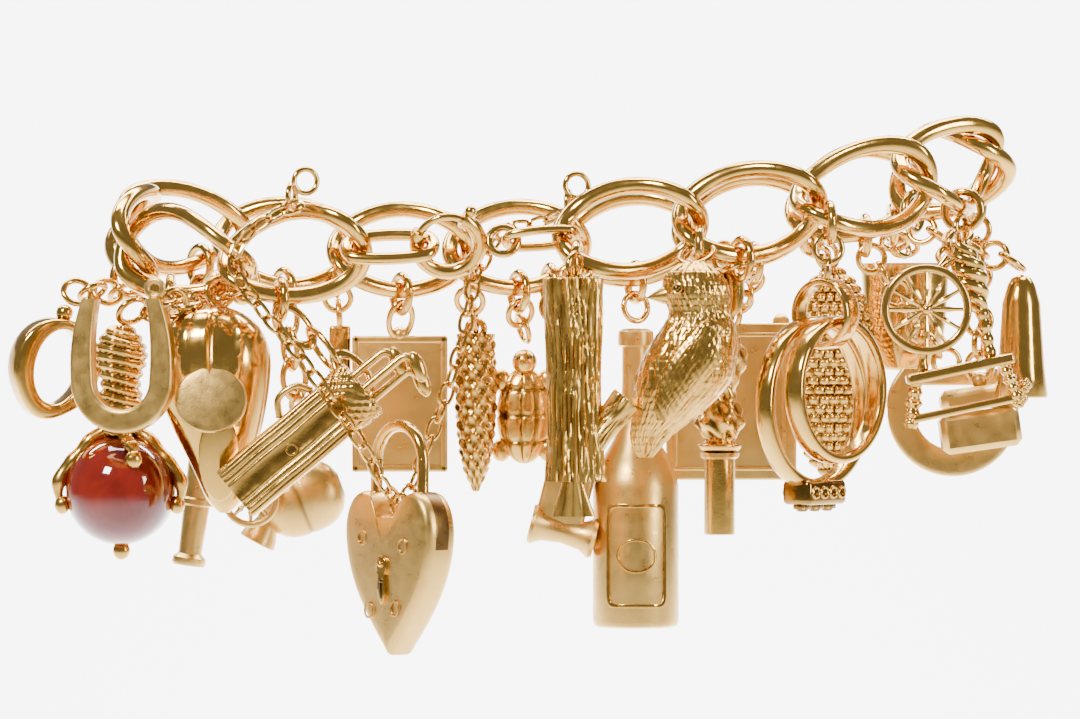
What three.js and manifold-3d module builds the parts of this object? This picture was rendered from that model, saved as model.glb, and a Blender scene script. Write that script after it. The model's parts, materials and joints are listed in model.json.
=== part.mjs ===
// Charm bracelet: an open curb chain closed by a bolt ring, a fine safety chain,
// and the charms that hang from it.
// Millimetres, +Z up, -Y is the front. The origin is the middle of the hollow that the wrist goes through.
import * as THREE from 'three';
import { mergeVertices } from 'three/addons/utils/BufferGeometryUtils.js';
import Module from 'manifold-3d';

const wasm = await Module();
wasm.setup();

// ---- driving dimensions ----
const GAP = 0.3;                                    // clearance kept between linked pieces
const LINK = { length: 15.5, width: 10, wire: 1.7, twist: Math.PI / 2 };
const CLASP_LINK = { length: 9.8, width: 4.9, wire: 1.2, twist: 0 };
const BOLT_RING = { outer: 7.6, wire: 1.5 };
const EYE = { outer: 3.6, wire: 0.8, turn: -50 };    // small eye soldered to the bolt ring
const OBLONG_LINK = { length: 7.8, width: 4.0, wire: 0.9, twist: 0 };
const BALL = 10.8;                                  // carnelian ball held by the talon
const HEART = { width: 13.2, height: 15.5, thick: 3.6 };
const SHACKLE = { wire: 1.15, span: 7.2, rise: 8.6 };
const WHEEL = { outer: 8.8, rim: 0.9, spokes: 12, hub: 2 };
const SAFETY_WIRE = 0.9;                            // fine chain as one tube of its outer width

// ---- materials ----
const GOLD = { color: 0xd9a84e, roughness: 0.2, metalness: 1 };
const SATIN = { color: 0xd8ab5e, roughness: 0.45, metalness: 1 };
const ANTIQUE = { color: 0xb88a42, roughness: 0.5, metalness: 1 };
const CARNELIAN = { color: 0x9c2a0c, roughness: 0.12, metalness: 0 };

const bracelet = new THREE.Group();
const rad = THREE.MathUtils.degToRad;

// ---- solids ----
function solidOf(geometry) {
  const bare = geometry.clone();
  bare.deleteAttribute('normal');
  bare.deleteAttribute('uv');
  const merged = mergeVertices(bare, 1e-4);
  const corners = merged.index.array;
  const kept = [];
  for (let i = 0; i < corners.length; i += 3) {
    const [a, b, c] = corners.slice(i, i + 3);
    if (a !== b && b !== c && c !== a) {
      kept.push(a, b, c);
    }
  }
  return new wasm.Manifold(new wasm.Mesh({
    numProp: 3,
    vertProperties: new Float32Array(merged.attributes.position.array),
    triVerts: new Uint32Array(kept),
  }));
}

function geometryOf(solid) {
  const raw = solid.getMesh();
  const geometry = new THREE.BufferGeometry();
  geometry.setAttribute('position', new THREE.BufferAttribute(new Float32Array(raw.vertProperties), 3));
  geometry.setIndex(new THREE.BufferAttribute(new Uint32Array(raw.triVerts), 1));
  return geometry;
}

function join(...geometries) {
  return geometryOf(geometries.map(solidOf).reduce((a, b) => a.add(b)));
}

function cut(body, ...tools) {
  return geometryOf(tools.map(solidOf).reduce((a, b) => a.subtract(b), solidOf(body)));
}

// ---- plain shapes, each about its own centre unless it says otherwise ----
function put(geometry, x = 0, y = 0, z = 0, turn = [0, 0, 0]) {
  const matrix = new THREE.Matrix4().makeRotationFromEuler(new THREE.Euler(...turn.map(rad), 'XYZ'));
  matrix.setPosition(x, y, z);
  return geometry.applyMatrix4(matrix);
}

// a ring standing upright, facing the front
function ring(outer, wire, around = 14, sides = 6) {
  return new THREE.TorusGeometry((outer - wire) / 2, wire / 2, sides, around).rotateX(Math.PI / 2);
}

// a ring seen edge-on from the front
function sideRing(outer, wire, around = 14, sides = 6) {
  return ring(outer, wire, around, sides).rotateZ(Math.PI / 2);
}

function box(x, y, z) {
  return new THREE.BoxGeometry(x, y, z);
}

function ball(diameter, columns = 12, rows = 8) {
  return new THREE.SphereGeometry(diameter / 2, columns, rows);
}

// a round body on a vertical axis, from [radius, height] rows that start and end on the axis
function turned(rows, sides = 12) {
  return new THREE.LatheGeometry(rows.map(([r, z]) => new THREE.Vector2(r, z)), sides).rotateX(Math.PI / 2);
}

function rod(diameter, length, sides = 8) {
  return new THREE.CylinderGeometry(diameter / 2, diameter / 2, length, sides).rotateX(Math.PI / 2);
}

// a flat plate of an outline in X and Z, centred on y = 0
function plate(shape, thick, curveSegments = 8) {
  const flat = new THREE.ExtrudeGeometry(shape, { depth: thick, bevelEnabled: false, curveSegments });
  return flat.translate(0, 0, -thick / 2).rotateX(Math.PI / 2);
}

// a round wire through a few points
function wireThrough(points, diameter, steps, sides = 6, tension = 0.5) {
  const section = new THREE.Shape();
  section.absarc(0, 0, diameter / 2, 0, 2 * Math.PI, false);
  const stops = points.map((p) => new THREE.Vector3(...p));
  const path = new THREE.CatmullRomCurve3(stops, false, 'catmullrom', tension);
  return new THREE.ExtrudeGeometry(section, { steps, extrudePath: path, curveSegments: sides / 2 });
}

// a body whose sections across Z are ovals: rows of [z, x centre, y centre, half width, half depth]
function ovals(rows, sides = 12) {
  const points = [];
  const faces = [];
  for (const [z, x, y, halfX, halfY] of rows) {
    for (let i = 0; i < sides; i += 1) {
      const angle = 2 * Math.PI * i / sides;
      points.push(x + halfX * Math.cos(angle), y + halfY * Math.sin(angle), z);
    }
  }
  for (let r = 0; r < rows.length - 1; r += 1) {
    for (let i = 0; i < sides; i += 1) {
      const a = r * sides + i;
      const b = r * sides + (i + 1) % sides;
      faces.push(a, b, b + sides, a, b + sides, a + sides);
    }
  }
  const last = (rows.length - 1) * sides;
  for (let i = 1; i < sides - 1; i += 1) {
    faces.push(0, i + 1, i);
    faces.push(last, last + i, last + i + 1);
  }
  const geometry = new THREE.BufferGeometry();
  geometry.setAttribute('position', new THREE.Float32BufferAttribute(points, 3));
  geometry.setIndex(faces);
  return geometry;
}

// ---- chain links: a round wire bent to an oval in X and Z, then twisted about its length ----
function chainLink({ length, width, wire, twist }, around = 16, sides = 6) {
  const radius = (width - wire) / 2;
  const stretch = (length - width) / 2;
  const link = new THREE.TorusGeometry(radius, wire / 2, sides, around).rotateX(Math.PI / 2);
  const position = link.attributes.position;
  const reach = (length - wire) / 2;
  for (let i = 0; i < position.count; i += 1) {
    const side = THREE.MathUtils.clamp(position.getX(i) / (radius * 0.5), -1, 1);
    const x = position.getX(i) + stretch * side;
    const angle = twist / 2 * THREE.MathUtils.clamp(x / reach, -1, 1);
    const y = position.getY(i);
    const z = position.getZ(i);
    position.setXYZ(i, x, y * Math.cos(angle) - z * Math.sin(angle), y * Math.sin(angle) + z * Math.cos(angle));
  }
  return link;
}

// the bolt ring's room from the inside of its tube on the left to the inside of its eye on the right
const EYE_CENTRE = (BOLT_RING.outer + EYE.outer) / 2 - 0.25;
const BOLT_RIGHT = EYE_CENTRE + EYE.outer / 2 - EYE.wire;
const BOLT_LEFT = BOLT_RING.wire - BOLT_RING.outer / 2;
const BOLT_LENGTH = BOLT_RIGHT - BOLT_LEFT;
const BOLT_MIDDLE = (BOLT_RIGHT + BOLT_LEFT) / 2;

// the loop, link by link from the clasp to the right, round the back and home:
// the joint where each link starts, and its lean about its own length in degrees
const LOOP = [
  { name: 'link_front_1', x: -1.2, y: -12.5, z: 0.3, lean: 0 },
  { name: 'link_front_2', x: 11.4, y: -13, z: 2, lean: 0 },
  { name: 'link_front_3', x: 24, y: -12.5, z: 3.6, lean: -20 },
  { name: 'link_front_4', x: 35.2, y: -9.5, z: 6.8, lean: -15, slack: 0.4 },
  { name: 'link_right_turn', x: 44.6, y: -1, z: 9.4, lean: -20, slack: 1.3 },
  { name: 'link_back_1', x: 35, y: 8.6, z: 7.4, lean: 0 },
  { name: 'link_back_2', x: 23, y: 11.8, z: 3.8, lean: 0 },
  { name: 'link_back_3', x: 11.6, y: 12.6, z: 1.2, lean: 0 },
  { name: 'link_back_4', x: -0.2, y: 12.6, z: 0.2, lean: 0 },
  { name: 'link_back_5', x: -12, y: 12.4, z: -0.4, lean: 0 },
  { name: 'link_back_6', x: -23.8, y: 12, z: -0.3, lean: 0 },
  { name: 'link_back_7', x: -35.6, y: 10.6, z: 0.6, lean: -20, slack: 0.4 },
  { name: 'link_left_turn', x: -45.4, y: 4, z: 3, lean: -5, slack: 1.2 },
  { name: 'link_front_6', x: -43.6, y: -7, z: -0.6, lean: 20, slack: 0.4 },
  { name: 'link_front_5', x: -33, y: -11.4, z: -1.8, lean: -5 },
  { name: 'clasp_link', x: -22.2, y: -13, z: -0.6, lean: -50, piece: CLASP_LINK },
  { name: 'bolt_ring', x: -15.2, y: -13, z: -0.4, lean: 30, inner: BOLT_LENGTH },
  { name: 'oblong_link', x: -7.8, y: -12.8, z: 0, lean: 60, piece: OBLONG_LINK },
];

// each step of the loop is as long as the inside of its link, less the gap and, at the turns, some slack
function stepOf({ piece = LINK, inner = piece.length - 2 * piece.wire, slack = 0 }) {
  return inner - GAP - slack;
}

function settledJoints() {
  const joints = LOOP.map(({ x, y, z }) => new THREE.Vector3(x, y, z));
  for (let round = 0; round < 400; round += 1) {
    LOOP.forEach((row, i) => {
      const next = joints[(i + 1) % joints.length];
      const apart = next.clone().sub(joints[i]);
      const pull = (apart.length() - stepOf(row)) / 2;
      apart.setLength(pull);
      joints[i].add(apart);
      next.sub(apart);
    });
  }
  return joints;
}

const joints = settledJoints();

// an upright frame whose X runs from one joint to the next, leaned about that line
function frameOf(row) {
  const start = joints[LOOP.indexOf(row)];
  const end = joints[(LOOP.indexOf(row) + 1) % LOOP.length];
  const along = end.clone().sub(start).normalize();
  const across = new THREE.Vector3(0, 0, 1).cross(along).normalize();
  const up = along.clone().cross(across);
  const turn = new THREE.Matrix4().makeBasis(along, across, up);
  turn.multiply(new THREE.Matrix4().makeRotationX(rad(row.lean)));
  return { middle: start.clone().add(end).multiplyScalar(0.5), turn };
}

// ---- the scene graph ----
function add(name, geometry, finish, place = [0, 0, 0], turn = [0, 0, 0]) {
  const mesh = new THREE.Mesh(geometry, new THREE.MeshStandardMaterial(finish));
  mesh.name = name;
  mesh.position.set(...place);
  mesh.rotation.set(...turn.map(rad));
  bracelet.add(mesh);
  return mesh;
}

function addAtRow(name, rowName, geometry, finish) {
  const { middle, turn } = frameOf(LOOP.find((row) => row.name === rowName));
  const mesh = add(name, geometry, finish, middle.toArray());
  mesh.quaternion.setFromRotationMatrix(turn);
}

function addInLoop(name, geometry, finish) {
  addAtRow(name, name, geometry, finish);
}

for (const row of LOOP) {
  if (row.name.startsWith('link_')) {
    addInLoop(row.name, chainLink(LINK), GOLD);
  }
}

// ---- clasp: a link, a bolt ring with its sprung trigger, a jump ring and a thin oblong link ----
const OPENING = { from: 62, to: 150, throw: 38 };   // degrees round the bolt ring that the trigger closes
const BOLT = { wire: 0.6, bore: 1.0, slot: 1.0, knob: 1.1, knobAt: 56 };

// a round bar bent along part of a circle in X and Z, closed at both ends; angles in degrees from +X
function bentBar(radius, wire, from, to, steps, sides = 6) {
  const points = Array.from({ length: steps + 1 }, (_, i) => {
    const angle = rad(from + (to - from) * i / steps);
    return [radius * Math.cos(angle), 0, radius * Math.sin(angle)];
  });
  return wireThrough(points, wire, steps, sides);
}

const boltRadius = (BOLT_RING.outer - BOLT_RING.wire) / 2;
const slotRadius = boltRadius + BOLT_RING.wire / 2;
const slotEnd = OPENING.from - OPENING.throw - 20;
const eye = ring(EYE.outer, EYE.wire, 10, 6).rotateX(rad(EYE.turn)).translate(EYE_CENTRE, 0, 0);
const boltTube = cut(
  join(bentBar(boltRadius, BOLT_RING.wire, OPENING.to, OPENING.from + 360, 16, 6), eye),
  bentBar(boltRadius, BOLT.bore, slotEnd - 12, OPENING.from + 8, 7),
  bentBar(slotRadius, BOLT.slot, slotEnd, OPENING.from + 8, 6, 4),
).translate(-BOLT_MIDDLE, 0, 0);
const knobAngle = rad(BOLT.knobAt);
const knobReach = boltRadius + 1.15;
const trigger = join(
  bentBar(boltRadius, BOLT.wire, OPENING.from - 18, OPENING.to - 9, 8),
  put(rod(0.4, 1.1, 6), (boltRadius + 0.5) * Math.cos(knobAngle), 0, (boltRadius + 0.5) * Math.sin(knobAngle),
    [0, 90 - BOLT.knobAt, 0]),
  put(ball(BOLT.knob, 8, 6), knobReach * Math.cos(knobAngle), 0, knobReach * Math.sin(knobAngle)),
).translate(-BOLT_MIDDLE, 0, 0);
addInLoop('clasp_link', chainLink(CLASP_LINK, 14, 6), GOLD);
addInLoop('bolt_ring', boltTube, GOLD);
addAtRow('bolt_trigger', 'bolt_ring', trigger, GOLD);
addInLoop('oblong_link', chainLink(OBLONG_LINK, 14, 6), GOLD);

// ---- heart padlock: the body turned half away, its shackle hinged in the right shoulder ----
const LOCK_PLACE = [-16.9, -18.5, -26.4];
const LOCK_TURN = [0, 0, -50];
const PIN = { x: 4.4, z: -1.6 };                    // shackle hinge, from the middle of the notch

function heartShape({ width, height }) {
  const half = width / 2;
  const heart = new THREE.Shape();
  heart.moveTo(-1.7, 0);
  heart.bezierCurveTo(-1.9, 3.3, -half * 0.98, 3.2, -half, -1.5);
  heart.bezierCurveTo(-half * 0.98, -7, -2.6, -10.6, 0, 2 - height);
  heart.bezierCurveTo(2.6, -10.6, half * 0.98, -7, half, -1.5);
  heart.bezierCurveTo(half * 0.98, 3.2, 1.9, 3.3, 1.7, 0);
  heart.closePath();
  return heart;
}

const lockBody = cut(
  plate(heartShape(HEART), HEART.thick, 8),
  put(box(2.0, 1.9, 7), -SHACKLE.span / 2, 0, 1.2),
  put(box(2.6, 1.9, 8.5), PIN.x - 0.1, 0, 0.6),
  put(box(4, 1.9, 7.4), PIN.x + 1.8, 0, 1.2),
);
const crown = SHACKLE.rise - SHACKLE.span / 2;
const arch = Array.from({ length: 9 }, (_, i) => {
  const angle = Math.PI * (1 - i / 8);
  return [SHACKLE.span / 2 * Math.cos(angle), 0, crown + SHACKLE.span / 2 * Math.sin(angle)];
});
const shackle = wireThrough(
  [[-SHACKLE.span / 2, 0, -1.4], [-SHACKLE.span / 2, 0, 1.5], ...arch, [SHACKLE.span / 2, 0, 1.5],
    [PIN.x, 0, PIN.z]],
  SHACKLE.wire, 20, 6,
);
add('padlock_heart', lockBody, SATIN, LOCK_PLACE, LOCK_TURN);
add('padlock_shackle', shackle, GOLD, LOCK_PLACE, LOCK_TURN);

// ---- safety chain: two runs of fine links, each one tube along its route with an end ring ----
const CHAIN_STEPS = 26;
const SAFETY_RUNS = {
  safety_chain_left: [
    [-26.6, -15.6, 3.6], [-29.3, -16.4, 2.4], [-32.2, -17, 0], [-32.8, -17.6, -2.6], [-30.6, -18.6, -6.2],
    [-27, -20, -10.4], [-23.2, -21.4, -15.6], [-20.2, -21.6, -20], [-18.3, -20.4, -23.6],
  ],
  safety_chain_right: [
    [-15.6, -16.4, -23.4], [-14.2, -15, -19.5], [-12.4, -14.6, -14.5], [-10.9, -14.2, -9.4],
    [-10, -12.4, -4.6], [-8.6, -10.4, -1.2], [-6.2, -9.8, 1.4], [-3.6, -8.6, 1.9], [-1.2, -8.2, 3],
  ],
};
for (const [name, route] of Object.entries(SAFETY_RUNS)) {
  add(name, wireThrough(route, SAFETY_WIRE, CHAIN_STEPS, 6), GOLD);
}

// ---- charms: each hangs by a ring round a link's wire, and its own shape is drawn below that ring ----
const RING = { outer: 4.6, wire: 0.85 };
const STEM_BURIED = 2.3;                            // how far a hanging stem runs into its charm

// a point on a link's wire, and which way the wire runs there; the angle is 0 at the right end, -90 underneath
function wireAt(row, degrees) {
  const { middle, turn } = frameOf(row);
  const { length, width, wire, twist } = row.piece || LINK;
  const radius = (width - wire) / 2;
  const pointAt = (angle) => {
    const side = THREE.MathUtils.clamp(Math.cos(angle) / 0.5, -1, 1);
    const x = radius * Math.cos(angle) + (length - width) / 2 * side;
    const lean = twist / 2 * THREE.MathUtils.clamp(2 * x / (length - wire), -1, 1);
    const z = radius * Math.sin(angle);
    return new THREE.Vector3(x, -z * Math.sin(lean), z * Math.cos(lean)).applyMatrix4(turn).add(middle);
  };
  const here = pointAt(rad(degrees));
  const ahead = pointAt(rad(degrees + 2)).sub(here);
  return { here, heading: THREE.MathUtils.radToDeg(Math.atan2(ahead.y, ahead.x)) };
}

// hangs a body, drawn below its own origin, with that origin at `top`: a ring goes round the link's wire
// and a soldered stem runs from the ring down to the body; `more` are the body's separate pieces
function hang(name, body, finish, { link, at, top, turn = [0, 0, 0], buried = STEM_BURIED, more = [] }) {
  const { here, heading } = wireAt(LOOP.find((row) => row.name === link), at);
  const drop = (RING.outer / 2 - RING.wire - LINK.wire / 2 - GAP) * 0.5;
  const eye = here.clone().sub(new THREE.Vector3(0, 0, drop));
  const hoop = sideRing(RING.outer, RING.wire, 10, 5).rotateZ(rad(heading)).translate(...eye.toArray());
  const foot = [eye.x, eye.y, eye.z - RING.outer / 2 + RING.wire / 2];
  const under = [top[0], top[1], top[2] - buried];
  const stem = wireThrough([foot, top, under], RING.wire, 3, 6);
  add(name, join(hoop, stem, put(body, ...top, turn)), finish);
  for (const { label, geometry, material } of more) {
    add(label, put(geometry, ...top, turn), material);
  }
}

function pointedRing() {
  const outline = new THREE.Shape();
  outline.moveTo(-4.2, -8.6);
  outline.quadraticCurveTo(-3.4, -2.6, 0.6, -1.8);
  outline.quadraticCurveTo(4.6, -3.4, 4, -8);
  outline.quadraticCurveTo(3, -12, -0.5, -13);
  outline.quadraticCurveTo(-3, -11.6, -4.2, -8.6);
  const hole = new THREE.Path();
  hole.absellipse(0.2, -7.6, 2.4, 3.7, 0, 2 * Math.PI, false, 0);
  outline.holes.push(hole);
  return plate(outline, 3, 5);
}

function horseshoe({ width, height, branch, thick }) {
  const outline = new THREE.Shape();
  const outer = width / 2;
  const inner = outer - branch;
  const bend = -height + outer;
  outline.moveTo(-outer * 0.78, 0);
  outline.quadraticCurveTo(-outer * 1.04, bend * 0.5, -outer, bend);
  outline.absellipse(0, bend, outer, outer, Math.PI, 2 * Math.PI, false, 0);
  outline.quadraticCurveTo(outer * 1.04, bend * 0.5, outer * 0.78, 0);
  outline.lineTo(outer * 0.78 - branch * 0.9, 0);
  outline.quadraticCurveTo(inner * 1.06, bend * 0.5, inner, bend);
  outline.absellipse(0, bend, inner, inner, 0, Math.PI, true, 0);
  outline.quadraticCurveTo(-inner * 1.06, bend * 0.5, -outer * 0.78 + branch * 0.9, 0);
  outline.closePath();
  return plate(outline, thick, 6);
}

const TALON = { leg: 9, claw: 1.3 };
// heading round the ball, and the angle at which the claw ends above (+) or below (-) its middle
const CLAWS = [[-10, -12], [90, -80], [190, -12], [290, 34]];
const ballBelow = -2 - TALON.leg - BALL / 2 - GAP - TALON.claw;

function talon() {
  const grip = BALL / 2 + GAP + TALON.claw / 2;
  const claws = CLAWS.map(([heading, end]) => {
    const claw = bentBar(grip, TALON.claw, 92, end, 6, 6);
    return claw.rotateZ(rad(heading)).translate(0, 0, ballBelow);
  });
  const leg = ovals([
    [-3.2 - TALON.leg, 0, 0, 1.6, 1.6], [-8, 0, 0, 1.5, 1.4], [-5, 0, 0, 2.3, 2], [-1.8, 0, 0, 1.2, 1.1],
  ], 10);
  return join(leg, ...claws);
}

function clog() {
  return ovals([
    [-21.6, 1.2, 0, 0.8, 0.9], [-19, 1, 0, 2.4, 2], [-14, 0.6, 0, 4.2, 3.4], [-8.5, 0, 0, 5.6, 4.4],
    [-5, 0, 0, 5.3, 4.4], [-2.9, 0, 0, 3.6, 3.2], [-1.7, 0, 0, 1, 1],
  ], 12);
}

function golfBag() {
  const bag = put(box(5.6, 4.2, 13.6), 0, 0, -9.4);
  const collar = ovals([[-3.2, 0, 0, 2.6, 2.2], [-0.6, 0, 0, 2.8, 2.4]], 10);
  const clubs = [[-1.4, 0.5, 3.6], [0.2, -0.6, 4.8], [1.5, 0.4, 4.2]].map(([x, y, rise]) => join(
    put(rod(0.9, rise, 6), x, y, rise / 2 - 0.8),
    put(box(3, 1.2, 1.3), x + 0.9, y, rise - 0.6, [0, 12, 0]),
  ));
  return join(bag, collar, ...clubs);
}

function treeLog() {
  const trunk = cut(
    ovals([[-21.5, 0.2, 0, 2.9, 2.7], [-12, 0, 0, 2.6, 2.5], [-1.6, 0, 0, 2.9, 2.7]], 12),
    put(rod(4.1, 5, 10), 0.2, 0, -20.5),
  );
  const stub = put(ovals([[-4.6, 0, 0, 1.5, 1.3], [0, 0, 0, 1.2, 1.1]], 8), 1.6, 0, -17.6, [0, -140, 0]);
  const brush = ovals([[-24.6, 0, 0, 2.2, 0.5], [-21.5, 0, 0, 1.1, 0.7], [-17.5, 0, 0, 1.2, 1]], 10);
  return join(trunk, stub, brush);
}

function bird() {
  const body = ovals([
    [-20.5, -4.6, 0, 1, 0.6], [-18.4, -4.2, 0, 2, 1.4], [-15.8, -2.2, 0, 3.8, 3], [-11.6, -0.6, 0, 4.5, 3.8],
    [-8, 0.4, 0, 3.6, 3.1], [-6.6, 0.4, 0, 2.9, 2.6], [-4.6, 0.2, 0, 3.1, 2.8], [-2.8, 0, 0, 2.5, 2.2],
    [-1.7, 0, 0, 1, 0.9],
  ], 12);
  const beak = put(turned([[0, 0], [0.9, 0], [0, 2]], 6), -2.6, 0, -4.9, [0, -100, 0]);
  return join(body, beak);
}

function watchKey() {
  return turned([
    [0, -28], [1.5, -28], [1.5, -20.6], [2, -20.2], [2, -19], [1.5, -18.6], [2.3, -17], [1.6, -14], [2.5, -10.5],
    [1.5, -8], [1.2, -7.4], [1.2, -6.2], [2, -5.4], [2.2, -3], [1.4, -1.8], [0, -1.8],
  ], 10);
}

// a ring for a finger: a band of an oval section, upright and facing the front, its top at z = 0
function fingerBand(outer, deep, wide, around = 26) {
  const band = ring(outer, deep, around, 6).scale(1, wide / deep, 1);
  return band.translate(0, 0, -outer / 2);
}


// ---- the spinning wheel: a slanted bench on three legs, posts, a distaff, and a wheel on an axle ----
const WHEEL_PLACE = [36.6, -13.6, -1.6];
const WHEEL_CENTRE = [-2.6, -2.4, -5];               // from the crossbar's hanging point
const WHEEL_GAP = 0.3;
const AXLE = 0.6;

function spokedWheel({ outer, rim, spokes, hub }, wide = 1, bore = 0) {
  const spoke = Array.from({ length: spokes / 2 }, (_, i) => (
    put(rod(0.45, outer - rim, 4), 0, 0, 0, [0, 360 * i / spokes, 0])));
  const tyre = ring(outer, rim, 16, 5).scale(1, wide / rim, 1);
  const nave = put(rod(hub, wide * 1.2, 8), 0, 0, 0, [90, 0, 0]);
  const wheel = join(tyre, nave, ...spoke);
  return bore ? cut(wheel, put(rod(bore, 4, 8), 0, 0, 0, [90, 0, 0])) : wheel;
}

// drawn about the wheel's centre
function spinningFrame() {
  const slope = [0, -12, 0];
  const bench = put(box(10.6, 3.4, 1.1), 3.6, 2.2, -4.9 - 1.1, slope);
  const treadle = put(box(10.8, 2.6, 0.8), 4.2, 2.2, -9.8, slope);
  const legs = [
    wireThrough([[-0.8, 2.2, -6.6], [-1.2, 2.2, -11.6]], 1.1, 1, 6),
    wireThrough([[7.4, 3, -5.2], [9.3, 3, -8.8]], 1, 1, 6),
    wireThrough([[7.4, 1.4, -5.2], [9, 1.4, -8.9]], 1, 1, 6),
  ];
  const posts = [
    wireThrough([[0, 2.2, -7], [0, 2.2, 0.6]], 1, 1, 6),
    wireThrough([[6.6, 2.2, -5.4], [5.6, 2.2, 1.2], [4.2, 2.2, 4.6]], 1.2, 4, 6),
  ];
  const axle = put(rod(AXLE, 3.4, 8), 0, 0.9, 0, [90, 0, 0]);
  const rope = ovals([[-2.6, 0, 0, 0.7, 0.7], [0, 0, 0, 1.7, 1.5], [2.8, 0, 0, 0.8, 0.8]], 8);
  const wool = put(rope, 4.4, 2.2, 3.2, [0, -18, 0]);
  const crossbar = wireThrough([[4.3, 2.2, 4.4], [1.6, 2.4, 3.6]], 0.9, 1, 6);
  return join(bench, treadle, ...legs, ...posts, axle, wool, crossbar).translate(...WHEEL_CENTRE);
}

// ---- charms at the back ----
function cannon() {
  const gun = [[0, -12.6], [1.7, -12.6], [1.7, -11.6], [1.2, -11], [1.6, 0], [2.1, 1], [2.1, 3.4], [0, 4.4]];
  const barrel = put(turned(gun, 10),
    -1.6, 0, -8, [0, 8, 0]);
  const carriage = put(box(3, 2.2, 12), 2.2, 0, -7.4, [0, -6, 0]);
  const wheel = put(spokedWheel({ outer: 6, rim: 1, spokes: 4, hub: 1.4 }, 1), 3.1, -1.4, -13.6);
  const bridge = put(box(5, 1.6, 2), 0, 0, -5);
  return join(barrel, carriage, wheel, bridge);
}

function whistle() {
  const round = [[-4.4, 0, 0, 1.6, 1.4], [-2.4, 0, 0, 3.6, 2.8], [1.4, 0, 0, 3.6, 2.8], [3.8, 0, 0, 1.8, 1.6]];
  const body = put(ovals(round, 10),
    0, 0, -4.6, [0, 70, 0]);
  const spout = put(turned([[0, -5], [1.9, -5], [1.2, -2.6], [1.4, 0], [0, 0]], 10), -2.6, 0, -4.8, [0, 28, 0]);
  return join(body, spout);
}

function flatPlate() {
  return join(put(box(9.8, 1.3, 14), 0, 0, -7.6), put(box(1.4, 1.1, 1.4), 0, 0, -0.4));
}

function pod() {
  const hollow = cut(
    ovals([[-17.2, 0, 0, 0.4, 0.4], [-14, 0, 0, 1.5, 1.4], [-8, 0, 0, 2.1, 1.9], [-1.2, 0, 0, 1.9, 1.7]], 10),
    put(rod(2.6, 4, 8), 0.1, 0, -0.8),
  );
  return join(hollow, put(box(3, 0.8, 0.8), 0, 0, -1.9));
}

function tortoise() {
  const shell = put(ball(8, 12, 8).scale(0.72, 0.42, 1.25), 0, 0, -8.4);
  const head = put(ball(2.6, 8, 6), 0, -0.6, -2.9);
  const corners = [[-2.4, -4.8], [2.4, -4.8], [-2.4, -12], [2.4, -12]];
  const feet = corners.map(([x, z]) => put(ball(2, 6, 4), x, 0, z));
  return join(shell, head, ...feet);
}

function mallet() {
  const bar = put(box(5.2, 2, 13), 0, 0, -7);
  const spool = put(turned([[0, -1.5], [1.6, -1.5], [1, 0], [1.6, 1.5], [0, 1.5]], 8), 0.6, 0, -14, [0, 90, 0]);
  const knob = put(ball(2.4, 8, 6), 3.2, 0, -14.2);
  return join(bar, spool, knob);
}

function bottle() {
  return turned([
    [0, -31.8], [4.1, -31.8], [4.4, -31.2], [4.4, -17], [3.6, -14.8], [2.2, -12.4], [1.5, -9.6], [1.4, -3],
    [1.8, -2.6], [1.8, -1.2], [0, -1.2],
  ], 14);
}

function book() {
  const cover = put(box(13.4, 3.4, 16.2), 0, 0, -8.8);
  const knobs = [-5.2, 5.2].map((x) => put(ball(1.8, 6, 4), x, 0, -0.6));
  return join(cover, ...knobs);
}

function beadedDrop() {
  return ovals([
    [-23, 0, 0, 0.6, 0.5], [-20, 0, 0, 3, 2.2], [-14, 0, 0, 4.3, 3], [-8, 0, 0, 4.2, 3], [-3.4, 0, 0, 2.8, 2.2],
    [-1.4, 0, 0, 1, 0.9],
  ], 12);
}

function cup() {
  return cut(
    ovals([[-12.6, 0, 0, 2.4, 2], [-9, 0, 0, 4, 2.8], [-1.6, 0, 0, 4.6, 3.2]], 12),
    ovals([[-9.6, 0, 0, 1.6, 1.2], [-1, 0, 0, 3.7, 2.3]], 12),
  );
}

function facetedBox() {
  return join(put(box(8, 4.4, 6.6), 0, 0, -4.2, [0, -8, 0]), put(box(1.4, 1.2, 2), 0, 0, -0.6));
}

function bell() {
  return cut(
    turned([[0, -13.4], [2.6, -13.4], [2.3, -10], [1.9, -4], [1.1, -1.8], [0, -1.2]], 12),
    turned([[0, -14], [1.9, -14], [1.5, -10], [0.9, -6], [0, -5.4]], 10),
  );
}

// ---- every charm in its place ----
const SHOE = { width: 10.2, height: 13, branch: 2.3, thick: 2 };
const BACK_SHOE = { width: 13.4, height: 11, branch: 2.8, thick: 1.6 };

// front, from the left
hang('pointed_ring', pointedRing(), GOLD, {
  link: 'link_left_turn', at: -90, top: [-49.6, -7, -4.6], turn: [0, 12, 25],
});
hang('horseshoe', join(horseshoe(SHOE).translate(-3.2, 0, 0), put(box(1.2, 1.4, 2.4), 0, 0, 0.4)), SATIN,
  { link: 'link_front_6', at: -72, top: [-40.6, -17, -5.6], turn: [0, 0, -12] });
hang('talon', talon(), ANTIQUE, {
  link: 'link_front_6',
  at: -100,
  top: [-44.6, -9, -6.4],
  more: [{ label: 'talon_ball', geometry: put(ball(BALL, 14, 10), 0, 0, ballBelow), material: CARNELIAN }],
});
hang('clog', clog(), GOLD, { link: 'link_front_6', at: -48, top: [-35.4, -12.4, -4.8] });
hang('golf_bag', put(golfBag(), 0, 0, 0, [0, 50, 0]), GOLD, {
  link: 'link_front_5', at: -100, top: [-20.4, -17.4, -14],
});
hang('tree_log', treeLog(), ANTIQUE, { link: 'link_front_1', at: -135, top: [-0.2, -17.8, -2] });
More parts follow.
